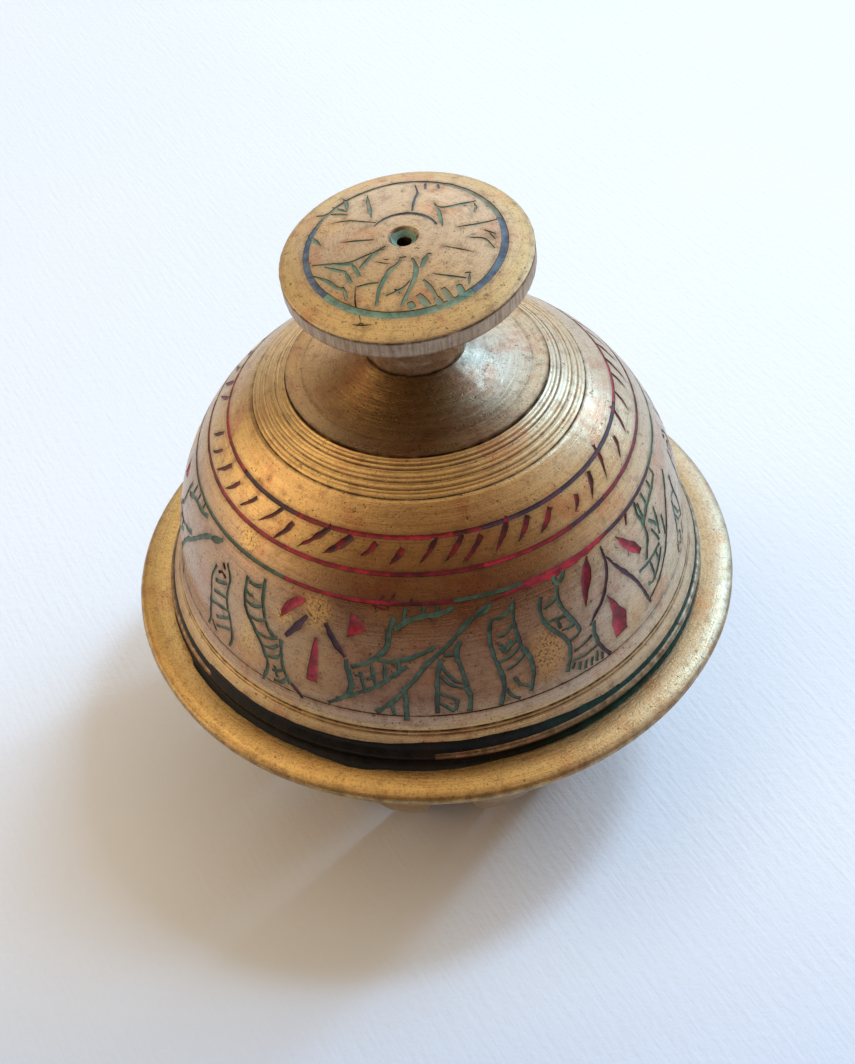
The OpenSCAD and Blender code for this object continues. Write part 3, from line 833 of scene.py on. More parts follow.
def bell_casting(material, engraving):
    shell = Shell()
    n = len(engraving.chart)
    points, normals = engraving.wrap(engraving.chart, engraving.depth)
    ids, seam = np.zeros(n, int), {}
    on_left = abs(engraving.chart[:, 0] + HALF_CHART) < 1e-4
    on_right = abs(engraving.chart[:, 0] - HALF_CHART) < 1e-4
    used = np.zeros(n, bool)
    used[np.unique(engraving.tris)] = True
    for v in np.nonzero(used & ~on_right)[0]:
        x, s = engraving.chart[v]
        theta = math.degrees(x / CHART_R)
        # The patina layer here paints a dark reflection on the bell's front.
        ids[v] = shell.vert(tuple(points[v]), grime=engraving.grime(v, 0.25),
                            tone=0.75 - 0.6 * min(1, max(0, (s - 9) / 6)), matted=matting(theta, s),
                            patina=patina(theta, s))
        shell.fixed[ids[v]] = tuple(normals[v])
        if on_left[v]:
            seam[round(s, 3)] = ids[v]
    for v in np.nonzero(used & on_right)[0]:
        s = engraving.chart[v][1]
        match = min(seam, key=lambda k: abs(k - s))
        if abs(match - s) < 0.02:
            ids[v] = seam[match]
        else:
            ids[v] = shell.vert(tuple(points[v]), grime=0.5)
            shell.fixed[ids[v]] = tuple(normals[v])
    engraving.add_faces(shell, ids, step=-1)

    def border_ring(s):
        rows = [(engraving.chart[v][0], int(ids[v])) for v in np.nonzero(used & ~on_right)[0]
                if abs(engraving.chart[v][1] - s) < 1e-5]
        return [v for _, v in sorted(rows)]

    top_ring, low_ring = border_ring(BAND_TOP), border_ring(BAND_END)
    # The seat under the knob is darkened: painted shade.
    seat = [(CROWN_HOLE_R, SEAT_Z, {"grime": 1.0}), (5.4, SEAT_Z, {"grime": 0.4})]
    crown = seat + flare_outline() + ridge_outline() + shoulder_outline()
    upper = turned(shell, crown, last=top_ring, label="crown", sharp=20)
    lower = turned(shell, foot_outline() + inner_outline(), first=low_ring, label="foot", sharp=33)
    join_rings(shell, lower[-1], upper[0], "bore")
    wave_rim(shell, lower[1:])
    paint_sheen_right_side(shell)
    piece = shell.build("bell_casting", material, slot="brass_bell")
    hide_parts("bell_body")


# ---------------------------------------------------------------- knob

DISC_R, DISC_EDGE, KNOB_H, CAP_RISE = 14.05, 2.3, 12.75, 2.4
DISC_TILT, TILT_DIR = 4.6, -47
RING_R, RING_HALF = 10.875, 0.42            # coloured ring in the face
DIMPLE_R, PILOT_R = 1.68, 0.8
HOLE_R = DIMPLE_R + 0.12                    # the engraved face begins here
FACE_R = 13.3                               # and ends here
KNOB_TURNS = 180                            # steps round the knob
SHANK_R = 2.55                              # bore for the eye bolt's shank
CAP_R = (DISC_R ** 2 + CAP_RISE ** 2) / 2 / CAP_RISE
disc_turn = Matrix.Rotation(math.radians(DISC_TILT), 3, Vector((
    math.cos(math.radians(TILT_DIR)), math.sin(math.radians(TILT_DIR)), 0)))
DISC_PIVOT = Vector((0, 0, LIFT + SEAT_Z + KNOB_H))


def cap(r):
    """Height of the domed face above the disc's upper edge."""
    return math.sqrt(CAP_R ** 2 - r ** 2) - CAP_R + CAP_RISE


def on_disc(x, y, z):
    return tuple(disc_turn @ Vector((x, y, z)) + DISC_PIVOT)


def knob_place(theta, r, z):
    """Upright at the stem's foot and tilted at the disc, for z above the disc's upper edge."""
    t = math.radians(theta)
    p = Vector((r * math.sin(t), -r * math.cos(t), z))
    share = min(1, max(0, (z + 6.5) / 3.8))
    share = share * share * (3 - 2 * share)
    return tuple((p + DISC_PIVOT).lerp(disc_turn @ p + DISC_PIVOT, share))


def circle(r, count=KNOB_TURNS):
    """Points round a circle, from the back."""
    turns = [math.radians(-180 + 360 * i / count) for i in range(count)]
    return [(r * math.sin(t), -r * math.cos(t)) for t in turns]


def wrap_face(points, depth):
    """Chart points of the knob's face in space, in the same way."""
    out, normals = [], []
    for (x, y), d in zip(points, depth):
        n = Vector((x, y, math.sqrt(CAP_R ** 2 - x * x - y * y))) / CAP_R
        out.append(on_disc(x - d * n.x, y - d * n.y, cap(math.hypot(x, y)) - d * n.z))
        normals.append(tuple(disc_turn @ n))
    return np.array(out), np.array(normals)


def arc(colour, r, start, end, half):
    """A stroke round the face, by degrees from +X towards the back."""
    count = max(3, int(abs(end - start) / 7))
    points = []
    for i in range(count + 1):
        a = math.radians(start + (end - start) * i / count)
        points.append((r * math.cos(a), r * math.sin(a)))
    return (colour, points, half)


# The disc's underside, from its edge to the stem
KNOB_UNDERSIDE = [(13.86, -2.36), (12.5, -2.42), (9.6, -2.5), (8.2, -2.68), (7.35, -3.0), (6.9, -3.55)]

# Cuts in the knob's face: (colour, points (x, y) seen from above, half-widths)
FACE_CUTS = [
    arc("knob_green", RING_R, -146, -52, RING_HALF),
    arc("knob_blue", RING_R, -53, 14, RING_HALF * 0.95),
    arc("knob_pale", RING_R, 13, 62, RING_HALF * 0.9),
    arc("knob_pale", RING_R, 61, 152, RING_HALF * 0.62),
    arc("knob_blue", RING_R, 151, 215, RING_HALF * 0.9),
    arc("knob_blue", 3.95, 20, 142, [0.12, 0.24, 0.24, 0.2, 0.1]),
] + several(
    "knob_green", [0.1, 0.24, 0.2],
    [(-10.2, -1.2), (-8.5, -1.9), (-7.0, -2.6), (-5.7, -2.8)],
    [(-5.9, -2.7), (-5.5, -3.6), (-5.1, -4.9)],
    [(-8.8, -2.1), (-7.6, -3.1), (-6.5, -3.8)],
    [(-6.6, -3.6), (-6.4, -4.4), (-6.0, -5.5)],
    [(-10.1, -2.9), (-8.6, -4.3), (-7.7, -5.5), (-6.9, -6.1)],
    [(-7.0, -5.7), (-6.8, -6.5), (-6.7, -7.5)],
    [(-2.0, -1.2), (-3.0, -1.8), (-3.9, -2.6), (-5.0, -3.8)],
) + several(
    "knob_green", [0.14, 0.3, 0.26, 0.16],
    [(-0.5, -3.2), (-0.8, -4.1), (-1.8, -4.9), (-2.5, -6), (-3.2, -7.4), (-3.6, -9.2)],
    [(0.7, -3.6), (1.0, -5), (0.7, -6.5), (0.1, -7.8), (-1.0, -9.7)],
    [(2.4, -3.3), (2.0, -4.1), (1.5, -5.2)],
    [(1.6, -6.8), (2.2, -7.9), (2.9, -9.5)],
) + several(
    "knob_green", [0.3, 0.42, 0.4],
    [(5.2, -7.8), (5.4, -8.6), (5.5, -9.3)], [(3.5, -8.1), (3.9, -8.9), (4.3, -9.8)],
    [(0.9, -8.6), (1.3, -9.3), (1.8, -10.2)], [(-0.1, -9.4), (0.2, -10.3)], [(2.7, -9.2), (3.1, -10.1)],
) + several(
    "knob_green", [0.06, 0.16, 0.1],
    [(-2.9, -6.3), (-4.2, -6.2), (-5.5, -6.2)], [(0.3, -6.6), (-0.7, -7.6), (-2.5, -8.2)],
    [(2.6, -6.1), (4.2, -6.6), (6.1, -7.0)], [(6.0, -6.3), (6.7, -6.3)], [(6.5, -6.3), (6.3, -7.8)],
    [(-2.1, -1.6), (-4, -2.0), (-6, -2.5), (-8, -1.9)],
    [(-0.4, -3.4), (0.1, -3.3)], [(2.2, -3.3), (2.8, -3.3)],
    [(-1.5, -7.5), (-1.0, -8.2)], [(-7.9, 5.1), (-6, 4.7), (-4.4, 3.9), (-2.8, 3.1)],
    [(-6.9, 1.1), (-5, 0.6), (-3.2, 0.2)], [(8.0, 5.3), (8.2, 4.3), (7.9, 3.3)],
    [(8.7, 0.2), (9.3, -0.2), (9.9, -0.4)], [(9.2, -0.3), (9.7, -1.3)], [(7, -1.1), (8.6, -1.3), (9.5, -2.7)],
    [(5.8, 0.7), (8.2, 1.2), (10.3, 2.1)],
) + several(
    "knob_green", [0.06, 0.2, 0.24, 0.08],
    [(-3.6, 9.3), (-3.55, 7.4), (-3.4, 5.8), (-3.3, 4.2)], [(-10.6, 4.4), (-9.9, 3.1), (-9.1, 1.6)],
    [(3.6, 5.6), (4.4, 4.4), (6.3, 4.8), (8.3, 5.6)], [(-8.3, 7.3), (-7.1, 6.6), (-5.9, 5.9)],
    [(-7.7, 8.6), (-6.8, 7.5), (-6.0, 6.6)], [(-9.6, 7.8), (-8.6, 7.2), (-7.6, 7.6)],
    [(-6.4, 10), (-6.0, 8.4), (-6.0, 6.6)],
    [(3.7, 5.2), (4.1, 3.9), (4.2, 2.2), (4.3, 0.9)],
) + several(
    "knob_blue", [0.06, 0.17, 0.12],
    [(1.8, 10), (2.0, 8), (1.6, 6.5), (1.2, 4.2)], [(3, 10.3), (2.9, 8.6)], [(4.3, 10), (4.4, 8.5)],
) + several(
    "", [0.04, 0.1, 0.04],
    [(-5.6, -5.8), (-5.8, -8.3), (-5.5, -9.8), (-5.4, -11.1)], [(-6.4, -10.7), (-5.4, -11.1), (-4.2, -11.3)],
    [(-6.0, -11.2), (-5.4, -10.8), (-5.0, -11.5)], [(4.2, -2.3), (6, -2.9), (7.4, -3.4)],
    [(-3.3, -3.2), (-2.4, -3.7), (-1.6, -4.0)], [(-2.4, -3.2), (-1.7, -3.3)],
)


def engrave_face():
    strokes = []
    for colour, points, width in FACE_CUTS:
        strokes.append(Stroke(colour, points, width, depth=0.4 if colour else 0.12, sink=0.22))
    spare = []
    for ring in range(1, 15):
        r = HOLE_R + (FACE_R - HOLE_R) * ring / 15
        count = int(2 * math.pi * r / 0.8)
        turns = [2 * math.pi * (i + 0.3 * ring) / count for i in range(count)]
        spare += [(r * math.cos(t), r * math.sin(t)) for t in turns]

    def on_face(middle):
        r = np.hypot(middle[:, 0], middle[:, 1])
        return (r < FACE_R) & (r > HOLE_R * 0.9998)

    return Engraving(strokes, to_chart=lambda s, p: p, to_plane=lambda s, p: p, wrap=wrap_face,
                     border=[circle(FACE_R), circle(HOLE_R)], spare=spare, keep_face=on_face)


def knob_outline():
    """Disc edge with its filed side, underside, stem and foot, by (r, height above the disc's upper edge)."""
    edge = {"tone": 0.75, "grime": 0.1}
    side = {"tone": 0.0, "grime": 0.1, "striped": 1.0}
    # The disc's underside is darkened: painted shade under the disc.
    shaded_underside = {"tone": 0.0, "grime": 0.6}
    stem = {"tone": 0.1, "grime": 0.12, "matted": 0.3, "patina": 0.4}
    out = [(13.6, cap(13.6), edge), (13.85, cap(13.85) - 0.02, edge), (13.98, -0.03, edge)]
    # A dark line just under the face's edge: painted shadow of the chamfer.
    out.append((DISC_R, -0.16, {"tone": 0.3, "grime": 0.7}))
    out += [(DISC_R, -0.16 - 0.34 * i, side) for i in range(1, 6)]
    out.append((DISC_R - 0.02, 0.14 - DISC_EDGE, side))
    out += [(r, z, shaded_underside) for r, z in KNOB_UNDERSIDE]
    out += [(5.65 + (KNOB_H - 4.3 - 0.42 * i) * 0.099, -4.3 - 0.42 * i, stem) for i in range(20)]
    return out + [(5.6, -KNOB_H + 0.02, {"grime": 0.5})]


def roughen_knob(shell, start):
    """Filing marks on the disc's side and hammered hollows on the stem."""
    for v in range(start, len(shell.verts)):
        x, y, z = shell.verts[v]
        r = math.hypot(x, y)
        step = (v - start) // KNOB_TURNS    # point of the outline
        rough = 0.0
        if 3 <= step <= 9:
            rough = 0.05 * noise.noise(Vector((x * 2.2, y * 2.2, z * 0.35)))
        elif step > 14:
            rough = 0.16 * noise.noise(Vector((x * 0.8, y * 0.8, z * 1.3)))
            rough += 0.06 * noise.noise(Vector((x, y, z)) * 3)
        shell.verts[v] = (x * (1 + rough / r), y * (1 + rough / r), z)


def knob_casting(material, engraving):
    shell = Shell()
    points, normals = engraving.wrap(engraving.chart, engraving.depth)
    ids = {}
    for v in np.unique(engraving.tris):
        x, y = engraving.chart[v]
        r = math.hypot(x, y)
        pale_share = 0.7 * max(0, 1 - math.hypot(x + 8.3, y - 4.5) / 3.4)
        pale_share += 0.5 * max(0, 1 - math.hypot(x + 2.6, y + 9) / 1.8)
        tone = min(1, 0.1 + 0.5 * max(0, (r - 10.8) / 1.2) + 0.5 * max(0, -y / 12))
        ids[v] = shell.vert(tuple(points[v]), grime=engraving.grime(v, 0.2), tone=tone, matted=pale_share)
        shell.fixed[ids[v]] = tuple(normals[v])
    engraving.add_faces(shell, ids)

    def border_ring(radius):
        """The face's vertices on a circle, from the back round."""
        turn = {v: math.atan2(engraving.chart[v][0], -engraving.chart[v][1]) for v in ids}
        near = [v for v in ids if abs(math.hypot(*engraving.chart[v]) - radius) < 1e-4]
        near.sort(key=turn.get)
        ring = [ids[v] for v in near]
        if abs(math.degrees(turn[near[-1]]) - 180) < 1e-3:
            ring = ring[-1:] + ring[:-1]
        return ring

    start = len(shell.verts)
    rings = turned(shell, knob_outline(), place=knob_place, first=border_ring(FACE_R), count=KNOB_TURNS,
                   label="disc", sharp=40)
    roughen_knob(shell, start)
    cone = [(DIMPLE_R - 0.03, CAP_RISE - 0.06, {"grime": 0.4, "tone": 0.3}),
            (1.25, CAP_RISE - 0.5, {"grime": 0.7}), (PILOT_R, CAP_RISE - 0.9, {"grime": 0.9}),
            (PILOT_R, CAP_RISE - 2.6, {"grime": 1.0}), (0.05, CAP_RISE - 2.9, {"grime": 1.0})]
    hole_rings = [border_ring(HOLE_R)]
    for r, z, extra in cone:
        hole_rings.append(ring_of(shell, r, z, place=knob_place, count=KNOB_TURNS, **extra))
    for i, (upper, lower) in enumerate(zip(hole_rings, hole_rings[1:])):
        join_rings(shell, lower, upper, f"hole{i}")
    shell.face(hole_rings[-1], "hole_end")
    bore = [ring_of(shell, SHANK_R, z, place=knob_place, count=KNOB_TURNS, grime=1.0)
            for z in (-KNOB_H + 0.02, -5.2)]
    join_rings(shell, rings[-1], bore[0], "seat")
    join_rings(shell, bore[0], bore[1], "bore")
    shell.face(bore[1][::-1], "bore_end")
    piece = shell.build("knob_casting", material, slot="brass_knob")
    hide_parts("knob")


def dimple_lac(material):
    """Lac left on the dimple's cone, with a ragged edge."""
    shell = Shell()
    count = 120
    top, low, under = [], [], []
    for i in range(count):
        theta = -180 + 360 * i / count
        t = math.radians(theta)
        ragged = noise.noise(Vector((math.cos(t) * 1.7, math.sin(t) * 1.7, 4)))
        r = 1.42 + 0.16 * ragged
        top.append(shell.vert(knob_place(theta, r, CAP_RISE - 0.02 - (DIMPLE_R - r) * 1.02)))
        low.append(shell.vert(knob_place(theta, PILOT_R + 0.03, CAP_RISE - 0.80)))
        under.append(shell.vert(knob_place(theta, 1.15, CAP_RISE - 0.85)))
    join_rings(shell, low, top, "film")
    join_rings(shell, top, under, "under")
    join_rings(shell, under, low, "under")
    piece = shell.build("lac_knob_dimple_film", material, slot="lac_green")
    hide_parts("lac_knob_dimple")


# ---------------------------------------------------------------- claws and dark bands

claw_nodes = sorted(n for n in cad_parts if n.startswith("claw_"))
CLAW_PHASE = -14.4                          # the first claw's angle
CLAW_CURVE, CLAW_C = 46.0, (-12.21, 5.554)  # radius and centre of the outer arc in section
CLAW_START, CLAW_END = 7.6, 44.3            # degrees along it
CLAW_TIP, CLAW_ROOT = 0.8, 5.6              # half-widths
CLAW_THICK, CLAW_THINNING = 3.0, 0.9
RIM_UNDER = -1.2                            # the underside of the rim


def make_claw(node, index, total, material):
    """One cast and filed claw: rounded sections swept along its arc, worn flat where it stands."""
    shell = Shell()
    hand = random.Random(100 + index)
    wide, bend = 1 + hand.uniform(-0.03, 0.02), hand.uniform(-0.12, 0.12)
    turn = math.radians(CLAW_PHASE + index * 360 / total)
    sections, around = 40, 28
    rings = []
    for i in range(sections + 1):
        a_deg = CLAW_START + (CLAW_END - CLAW_START) * i / sections
        a = math.radians(a_deg)
        thick = CLAW_THICK - CLAW_THINNING * (a_deg - 6) / 41
        z_out = CLAW_C[1] - CLAW_CURVE * math.sin(a)
        u = min(1, max(0, (RIM_UNDER - z_out) / (LIFT + RIM_UNDER)))
        half = (CLAW_TIP + (CLAW_ROOT - CLAW_TIP) * (1 - u ** 1.8)) * wide
        ring = []
        for k in range(around):
            f = 2 * math.pi * k / around
            c, s = math.cos(f), math.sin(f)
            x = half * math.copysign(abs(c) ** 0.45, c)
            d = thick / 2 * (1 - math.copysign(abs(s) ** 0.55, s))
            crown = 0.22 * (1 - (x / half) ** 2) * s
            rough = 0.09 * noise.noise(Vector((x * 0.5, a_deg * 0.25, index * 7.0 + s)))
            reach = CLAW_CURVE - d + crown - 0.2 + rough
            r = CLAW_C[0] + reach * math.cos(a)
            z = CLAW_C[1] - reach * math.sin(a)
            x += bend * u * u * 3
            height = max(0.0, min(z + LIFT, LIFT + RIM_UNDER + 0.6))
            place = (x * math.cos(turn) + r * math.sin(turn), x * math.sin(turn) - r * math.cos(turn), height)
            # Darker on the claw's inner face and towards the rim: painted shade under the bell, over an even
            # share of grime.
            grime_and_inner_shade = 0.35 + (0.45 * (1 - u * 0.5) if s < 0 else 0)
            ring.append(shell.vert(place, grime=grime_and_inner_shade * (0.75 - 0.5 * u), tone=0.4 + 0.5 * u, matted=0.04))
        rings.append(ring)
    for upper, lower in zip(rings, rings[1:]):
        join_rings(shell, lower, upper, "level_skin")
    shell.face(rings[0], "root")
    shell.face(rings[-1][::-1], "foot")
    piece = shell.build(node + "_casting", material, slot="brass_claws")
    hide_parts(node)


# The black filling by (degrees, mm): height on the cove, outer edge on the rim, thickness over the bead
BLACK_TOP = [(-180, 3.42), (-74, 3.42), (-64, 3.5), (-50, 3.62), (-20, 3.75), (-6, 4.12), (8, 4.15),
             (22, 3.95), (34, 3.6), (44, 3.45), (64, 3.42), (70, 3.25), (104, 3.25), (112, 3.42), (180, 3.42)]
BLACK_EDGE = [(-180, 33.8), (-66, 33.84), (-64, 34.22), (-30, 34.26), (-25, 34.45), (-21, 34.82),
              (-17, 34.8), (-15, 34.5), (-8, 34.38), (0, 34.3), (4, 34.1), (9, 33.9), (23, 33.86),
              (24.5, 34.05), (27, 34.0), (28, 33.84), (46, 33.8), (64, 33.78), (70, 33.7), (104, 33.7),
              (112, 33.8), (180, 33.8)]
BLACK_COAT = [(-180, -0.14), (-86, -0.14), (-60, 0.0), (-42, 0.05), (-10, 0.06), (0, 0.0), (8, -0.06),
              (22, -0.1), (30, -0.14), (180, -0.14)]


def black_section(theta, high, wide, coat):
    """Outline of the filling: down the cove, over the bead, out onto the rim, and back under the surface."""
    film = 0.03 if high > COVE_FOOT_Z + 0.1 else -0.03
    foot = min(COVE_FOOT_Z, high - 0.1)
    full = min(1, max(0, (12 - theta) / 8)) if theta > -90 else 0
    skin = [(cove_r(high) - 0.012, high), (cove_r(high - 0.06) + film, high - 0.06),
            (cove_r(foot) + film, foot), (BEAD_C[0] - 0.02, min(3.15, foot - 0.1))]
    skin += [on_arc(BEAD_C, BEAD_R + coat, a) for a in (60, 35, 10, -15, -40, -62)]
    skin += [(33.4 + 0.15 * full, 1.05 + 0.17 * full), (33.6 + 0.12 * full, 0.86 + 0.12 * full),
             (max(33.7, wide - 0.12), 0.89 if wide > 34.0 else 0.83), (wide, 0.82)]
    return skin, [(33.0, 0.3), (31.6, 3.0)]


def dark_bands(material):
    """Black lac in both grooves beside the bead. At the front it buries the bead and spills onto the rim."""
    shell = Shell()
    count = 720
    columns = []
    for i in range(count):
        theta = -180 + 360 * i / count
        t = math.radians(theta)
        n1, n2, n3 = (noise.noise(Vector((math.cos(t) * size, math.sin(t) * size, at)))
                      for size, at in ((5, 1.5), (19, 5.5), (40, 9.5)))
        high = np.interp(theta, *zip(*BLACK_TOP)) + 0.1 * n1 + 0.06 * n2
        wide = np.interp(theta, *zip(*BLACK_EDGE)) + 0.05 * n2 + 0.05 * n3
        coat = np.interp(theta, *zip(*BLACK_COAT)) + 0.04 * n1 + 0.02 * n3
        teal = min(1, max(0, (theta - 10) / 26)) * min(1, max(0, (150 - theta) / 30)) * (0.8 + 0.5 * n2)
        skin, under = black_section(theta, high, wide, coat)
        columns.append([shell.vert(spin(theta, r, z), tone=0.5 + 0.5 * n2, matted=teal)
                        for r, z in skin + under])
    rows = list(zip(*columns))
    for k, row in enumerate(rows):
        group = "level_skin" if k < len(skin) - 1 else "under"
        join_rings(shell, row, rows[(k + 1) % len(rows)], group)
    piece = shell.build("lac_dark_bands", material, slot="lac_dark")
    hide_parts("lac_dark_band_upper", "lac_dark_band_lower")


# ---------------------------------------------------------------- materials

class Nodes:
    """Short names for the nodes of one material."""

    def __init__(self, name):
        self.material = bpy.data.materials.new(name)
        self.material.use_nodes = True
        self.tree = self.material.node_tree
        self.shader = self.tree.nodes["Principled BSDF"]
        self.shader.inputs["IOR"].default_value = 1.5
        self.coords = self.scaled(self.add("ShaderNodeTexCoord").outputs["Object"], 1 / MM)

    def add(self, kind, **settings):
        node = self.tree.nodes.new(kind)
        for key, value in settings.items():
            setattr(node, key, value)
        return node

    def link(self, source, target):
        if isinstance(source, (int, float)):
            target.default_value = source
        elif isinstance(source, tuple):
            target.default_value = (*source, 1.0) if len(source) == 3 else source
        else:
            self.tree.links.new(source, target)

    def scaled(self, vector, factor):
        node = self.add("ShaderNodeVectorMath", operation="SCALE")
        self.link(vector, node.inputs[0])
        node.inputs["Scale"].default_value = factor
        return node.outputs[0]

    def math(self, operation, a, b=0.0, clamp=False):
        node = self.add("ShaderNodeMath", operation=operation, use_clamp=clamp)
        self.link(a, node.inputs[0])
        self.link(b, node.inputs[1])
        return node.outputs[0]

    def noise(self, vector, scale, detail=3.0, rough=0.55, stretch=None):
        if stretch:
            mapping = self.add("ShaderNodeMapping")
            self.link(vector, mapping.inputs["Vector"])
            mapping.inputs["Scale"].default_value = stretch
            vector = mapping.outputs[0]
        node = self.add("ShaderNodeTexNoise")
        self.link(vector, node.inputs["Vector"])
        node.inputs["Scale"].default_value = scale
        node.inputs["Detail"].default_value = detail
        node.inputs["Roughness"].default_value = rough
        return node.outputs["Fac"]

    def ramp(self, value, low, high):
        """0 at low and 1 at high."""
        node = self.add("ShaderNodeMapRange", interpolation_type="SMOOTHSTEP")
        self.link(value, node.inputs["Value"])
        node.inputs["From Min"].default_value = low
        node.inputs["From Max"].default_value = high
        return node.outputs[0]

    def mix(self, share, a, b, kind="MIX"):
        node = self.add("ShaderNodeMix", data_type="RGBA", blend_type=kind)
        self.link(share, node.inputs["Factor"])
        self.link(a, node.inputs["A"])
        self.link(b, node.inputs["B"])
        return next(o for o in node.outputs if o.type == "RGBA" and o.enabled)

    def cover(self, under, over, field, low, high, amount):
        """One colour over another where a field rises from low to high, by at most the amount."""
        return self.mix(self.math("MULTIPLY", self.ramp(field, low, high), amount), under, over)

    def layer(self, name):
        return self.add("ShaderNodeAttribute", attribute_name=name).outputs["Fac"]

    def round_axis(self, around):
        """Coordinates that run slowly round the axis and quickly down the side: lathe marks follow them."""
        split = self.add("ShaderNodeSeparateXYZ")
        self.link(self.coords, split.inputs[0])
        x, y, z = split.outputs
        r = self.math("SQRT", self.math("ADD", self.math("MULTIPLY", x, x), self.math("MULTIPLY", y, y)))
        safe = self.math("MAXIMUM", r, 0.01)
        join = self.add("ShaderNodeCombineXYZ")
        self.link(self.math("MULTIPLY", self.math("DIVIDE", x, safe), around), join.inputs[0])
        self.link(self.math("MULTIPLY", self.math("DIVIDE", y, safe), around), join.inputs[1])
        self.link(self.math("SUBTRACT", r, z), join.inputs[2])
        return join.outputs[0]

    def bump(self, height, distance, strength=1.0, under=None):
        node = self.add("ShaderNodeBump")
        node.inputs["Strength"].default_value = strength
        node.inputs["Distance"].default_value = distance * MM
        self.link(height, node.inputs["Height"])
        if under is not None:
            self.link(under, node.inputs["Normal"])
        return node.outputs[0]


def times(colour, factor):
    """A colour made darker or lighter."""
    return tuple(c * factor for c in colour)


# Pale brass for the painted window sheen on the bell's right side.
PAINTED_SHEEN_BRASS = (0.58, 0.51, 0.38)
# Brown multiplied in by the patina layer: real brown skin, and painted shade and dark reflection where the
# layer paints them.
BROWN_SKIN_AND_SHADE = (0.56, 0.42, 0.36)             # tints what it lies on


def brass(name, pink, gold, brown, rough=0.3, lathe=0.022, pits=0.6, speckle=0.75):
    """Aged brass in two tones: coppery and brown patches, pepper and pits, lathe marks, grime in hollows, and
    painted shade where the grime layer carries it.
    """
    m = Nodes(name)
    p = m.coords
    tone, grime, matted, striped, skin, pale = (
        m.layer(layer) for layer in ("tone", "grime", "matted", "striped", "patina", "pale"))
    broad = m.noise(p, 0.09, 2)
    copper = m.noise(p, 0.19, 4, 0.65)
    mottle = m.noise(p, 0.7, 4, 0.65)
    grain = m.noise(p, 3.2, 3, 0.7)
    pepper = m.noise(p, 6.0, 2, 0.6)
    dots = m.noise(p, 1.9, 2, 0.5)
    lathe_marks = m.noise(m.round_axis(0.6), 5.0, 4, 0.75)
    wide_marks = m.noise(m.round_axis(0.9), 1.1, 2, 0.6)
    scratches = m.noise(p, 1.0, 2, 0.6, stretch=(1.0, 1.0, 7.0))
    stripes = m.noise(p, 3.0, 3, 0.65, stretch=(1.0, 1.0, 0.04))

    shift = m.math("ADD", tone, m.math("MULTIPLY", m.math("SUBTRACT", broad, 0.5), 0.9), clamp=True)
    reddish = (pink[0] * 1.05, pink[1] * 0.68, pink[2] * 0.52)
    colour = m.mix(shift, pink, gold)
    # Painted window sheen, where the pale layer says so.
    colour = m.mix(pale, colour, PAINTED_SHEEN_BRASS)
    colour = m.cover(colour, reddish, copper, 0.50, 0.66, 0.55)
    colour = m.cover(colour, brown, mottle, 0.50, 0.74, 0.5)
    colour = m.cover(colour, brown, lathe_marks, 0.45, 0.70, 0.38)
    colour = m.cover(colour, times(brown, 0.4), grain, 0.58, 0.74, speckle)
    colour = m.cover(colour, times(brown, 0.3), pepper, 0.60, 0.70, speckle)
    colour = m.cover(colour, times(brown, 0.15), dots, 0.66, 0.72, pits)
    golden = m.mix(m.ramp(grain, 0.36, 0.52), brown, times(gold, 1.2))
    colour = m.mix(m.math("MULTIPLY", matted, 0.9), colour, golden)
    streak = m.mix(m.ramp(stripes, 0.36, 0.62), times(brown, 1.1), times(pink, 0.75))
    colour = m.mix(m.math("MULTIPLY", striped, 0.7), colour, streak)
    # Brown skin, with painted shade and dark reflection, from the patina layer.
    colour = m.mix(skin, colour, BROWN_SKIN_AND_SHADE, "MULTIPLY")
    # Darkening by the grime layer: real grime in the cuts, and painted shade under the knob's disc, inside
    # the bell and on the claws.
    patchy = m.math("ADD", m.ramp(mottle, 0.3, 0.6), 0.8)
    grime_and_shade_share = m.math("MULTIPLY", m.math("MULTIPLY", grime, patchy), 0.8, clamp=True)
    colour = m.mix(grime_and_shade_share, colour, times(brown, 0.16))
    m.link(colour, m.shader.inputs["Base Color"])
    m.shader.inputs["Metallic"].default_value = 1.0
    m.shader.inputs["Coat Weight"].default_value = 0.22
    m.shader.inputs["Coat Roughness"].default_value = 0.38

    roughness = m.math("ADD", m.math("MULTIPLY", mottle, 0.24), rough - 0.12)
    for field, amount in ((m.ramp(wide_marks, 0.35, 0.7), 0.07), (tone, 0.08), (matted, 0.2), (grime, 0.25)):
        roughness = m.math("ADD", roughness, m.math("MULTIPLY", field, amount), clamp=True)
    m.link(roughness, m.shader.inputs["Roughness"])

    holes = m.math("MULTIPLY", m.ramp(dots, 0.64, 0.74), -1.0)
    punched = m.math("MULTIPLY", m.noise(p, 2.6, 2, 0.6), matted)
    filed = m.math("MULTIPLY", stripes, striped)
    normal = m.bump(lathe_marks, lathe)
    for height, distance, strength in ((wide_marks, lathe * 1.6, 1.0), (scratches, 0.012, 0.8),
                                       (grain, 0.026, 0.8), (pepper, 0.014, 0.8), (holes, 0.03, pits),
                                       (punched, 0.11, 1.0), (filed, 0.05, 1.0)):
        normal = m.bump(height, distance, strength, under=normal)
    m.link(normal, m.shader.inputs["Normal"])
    return m.material


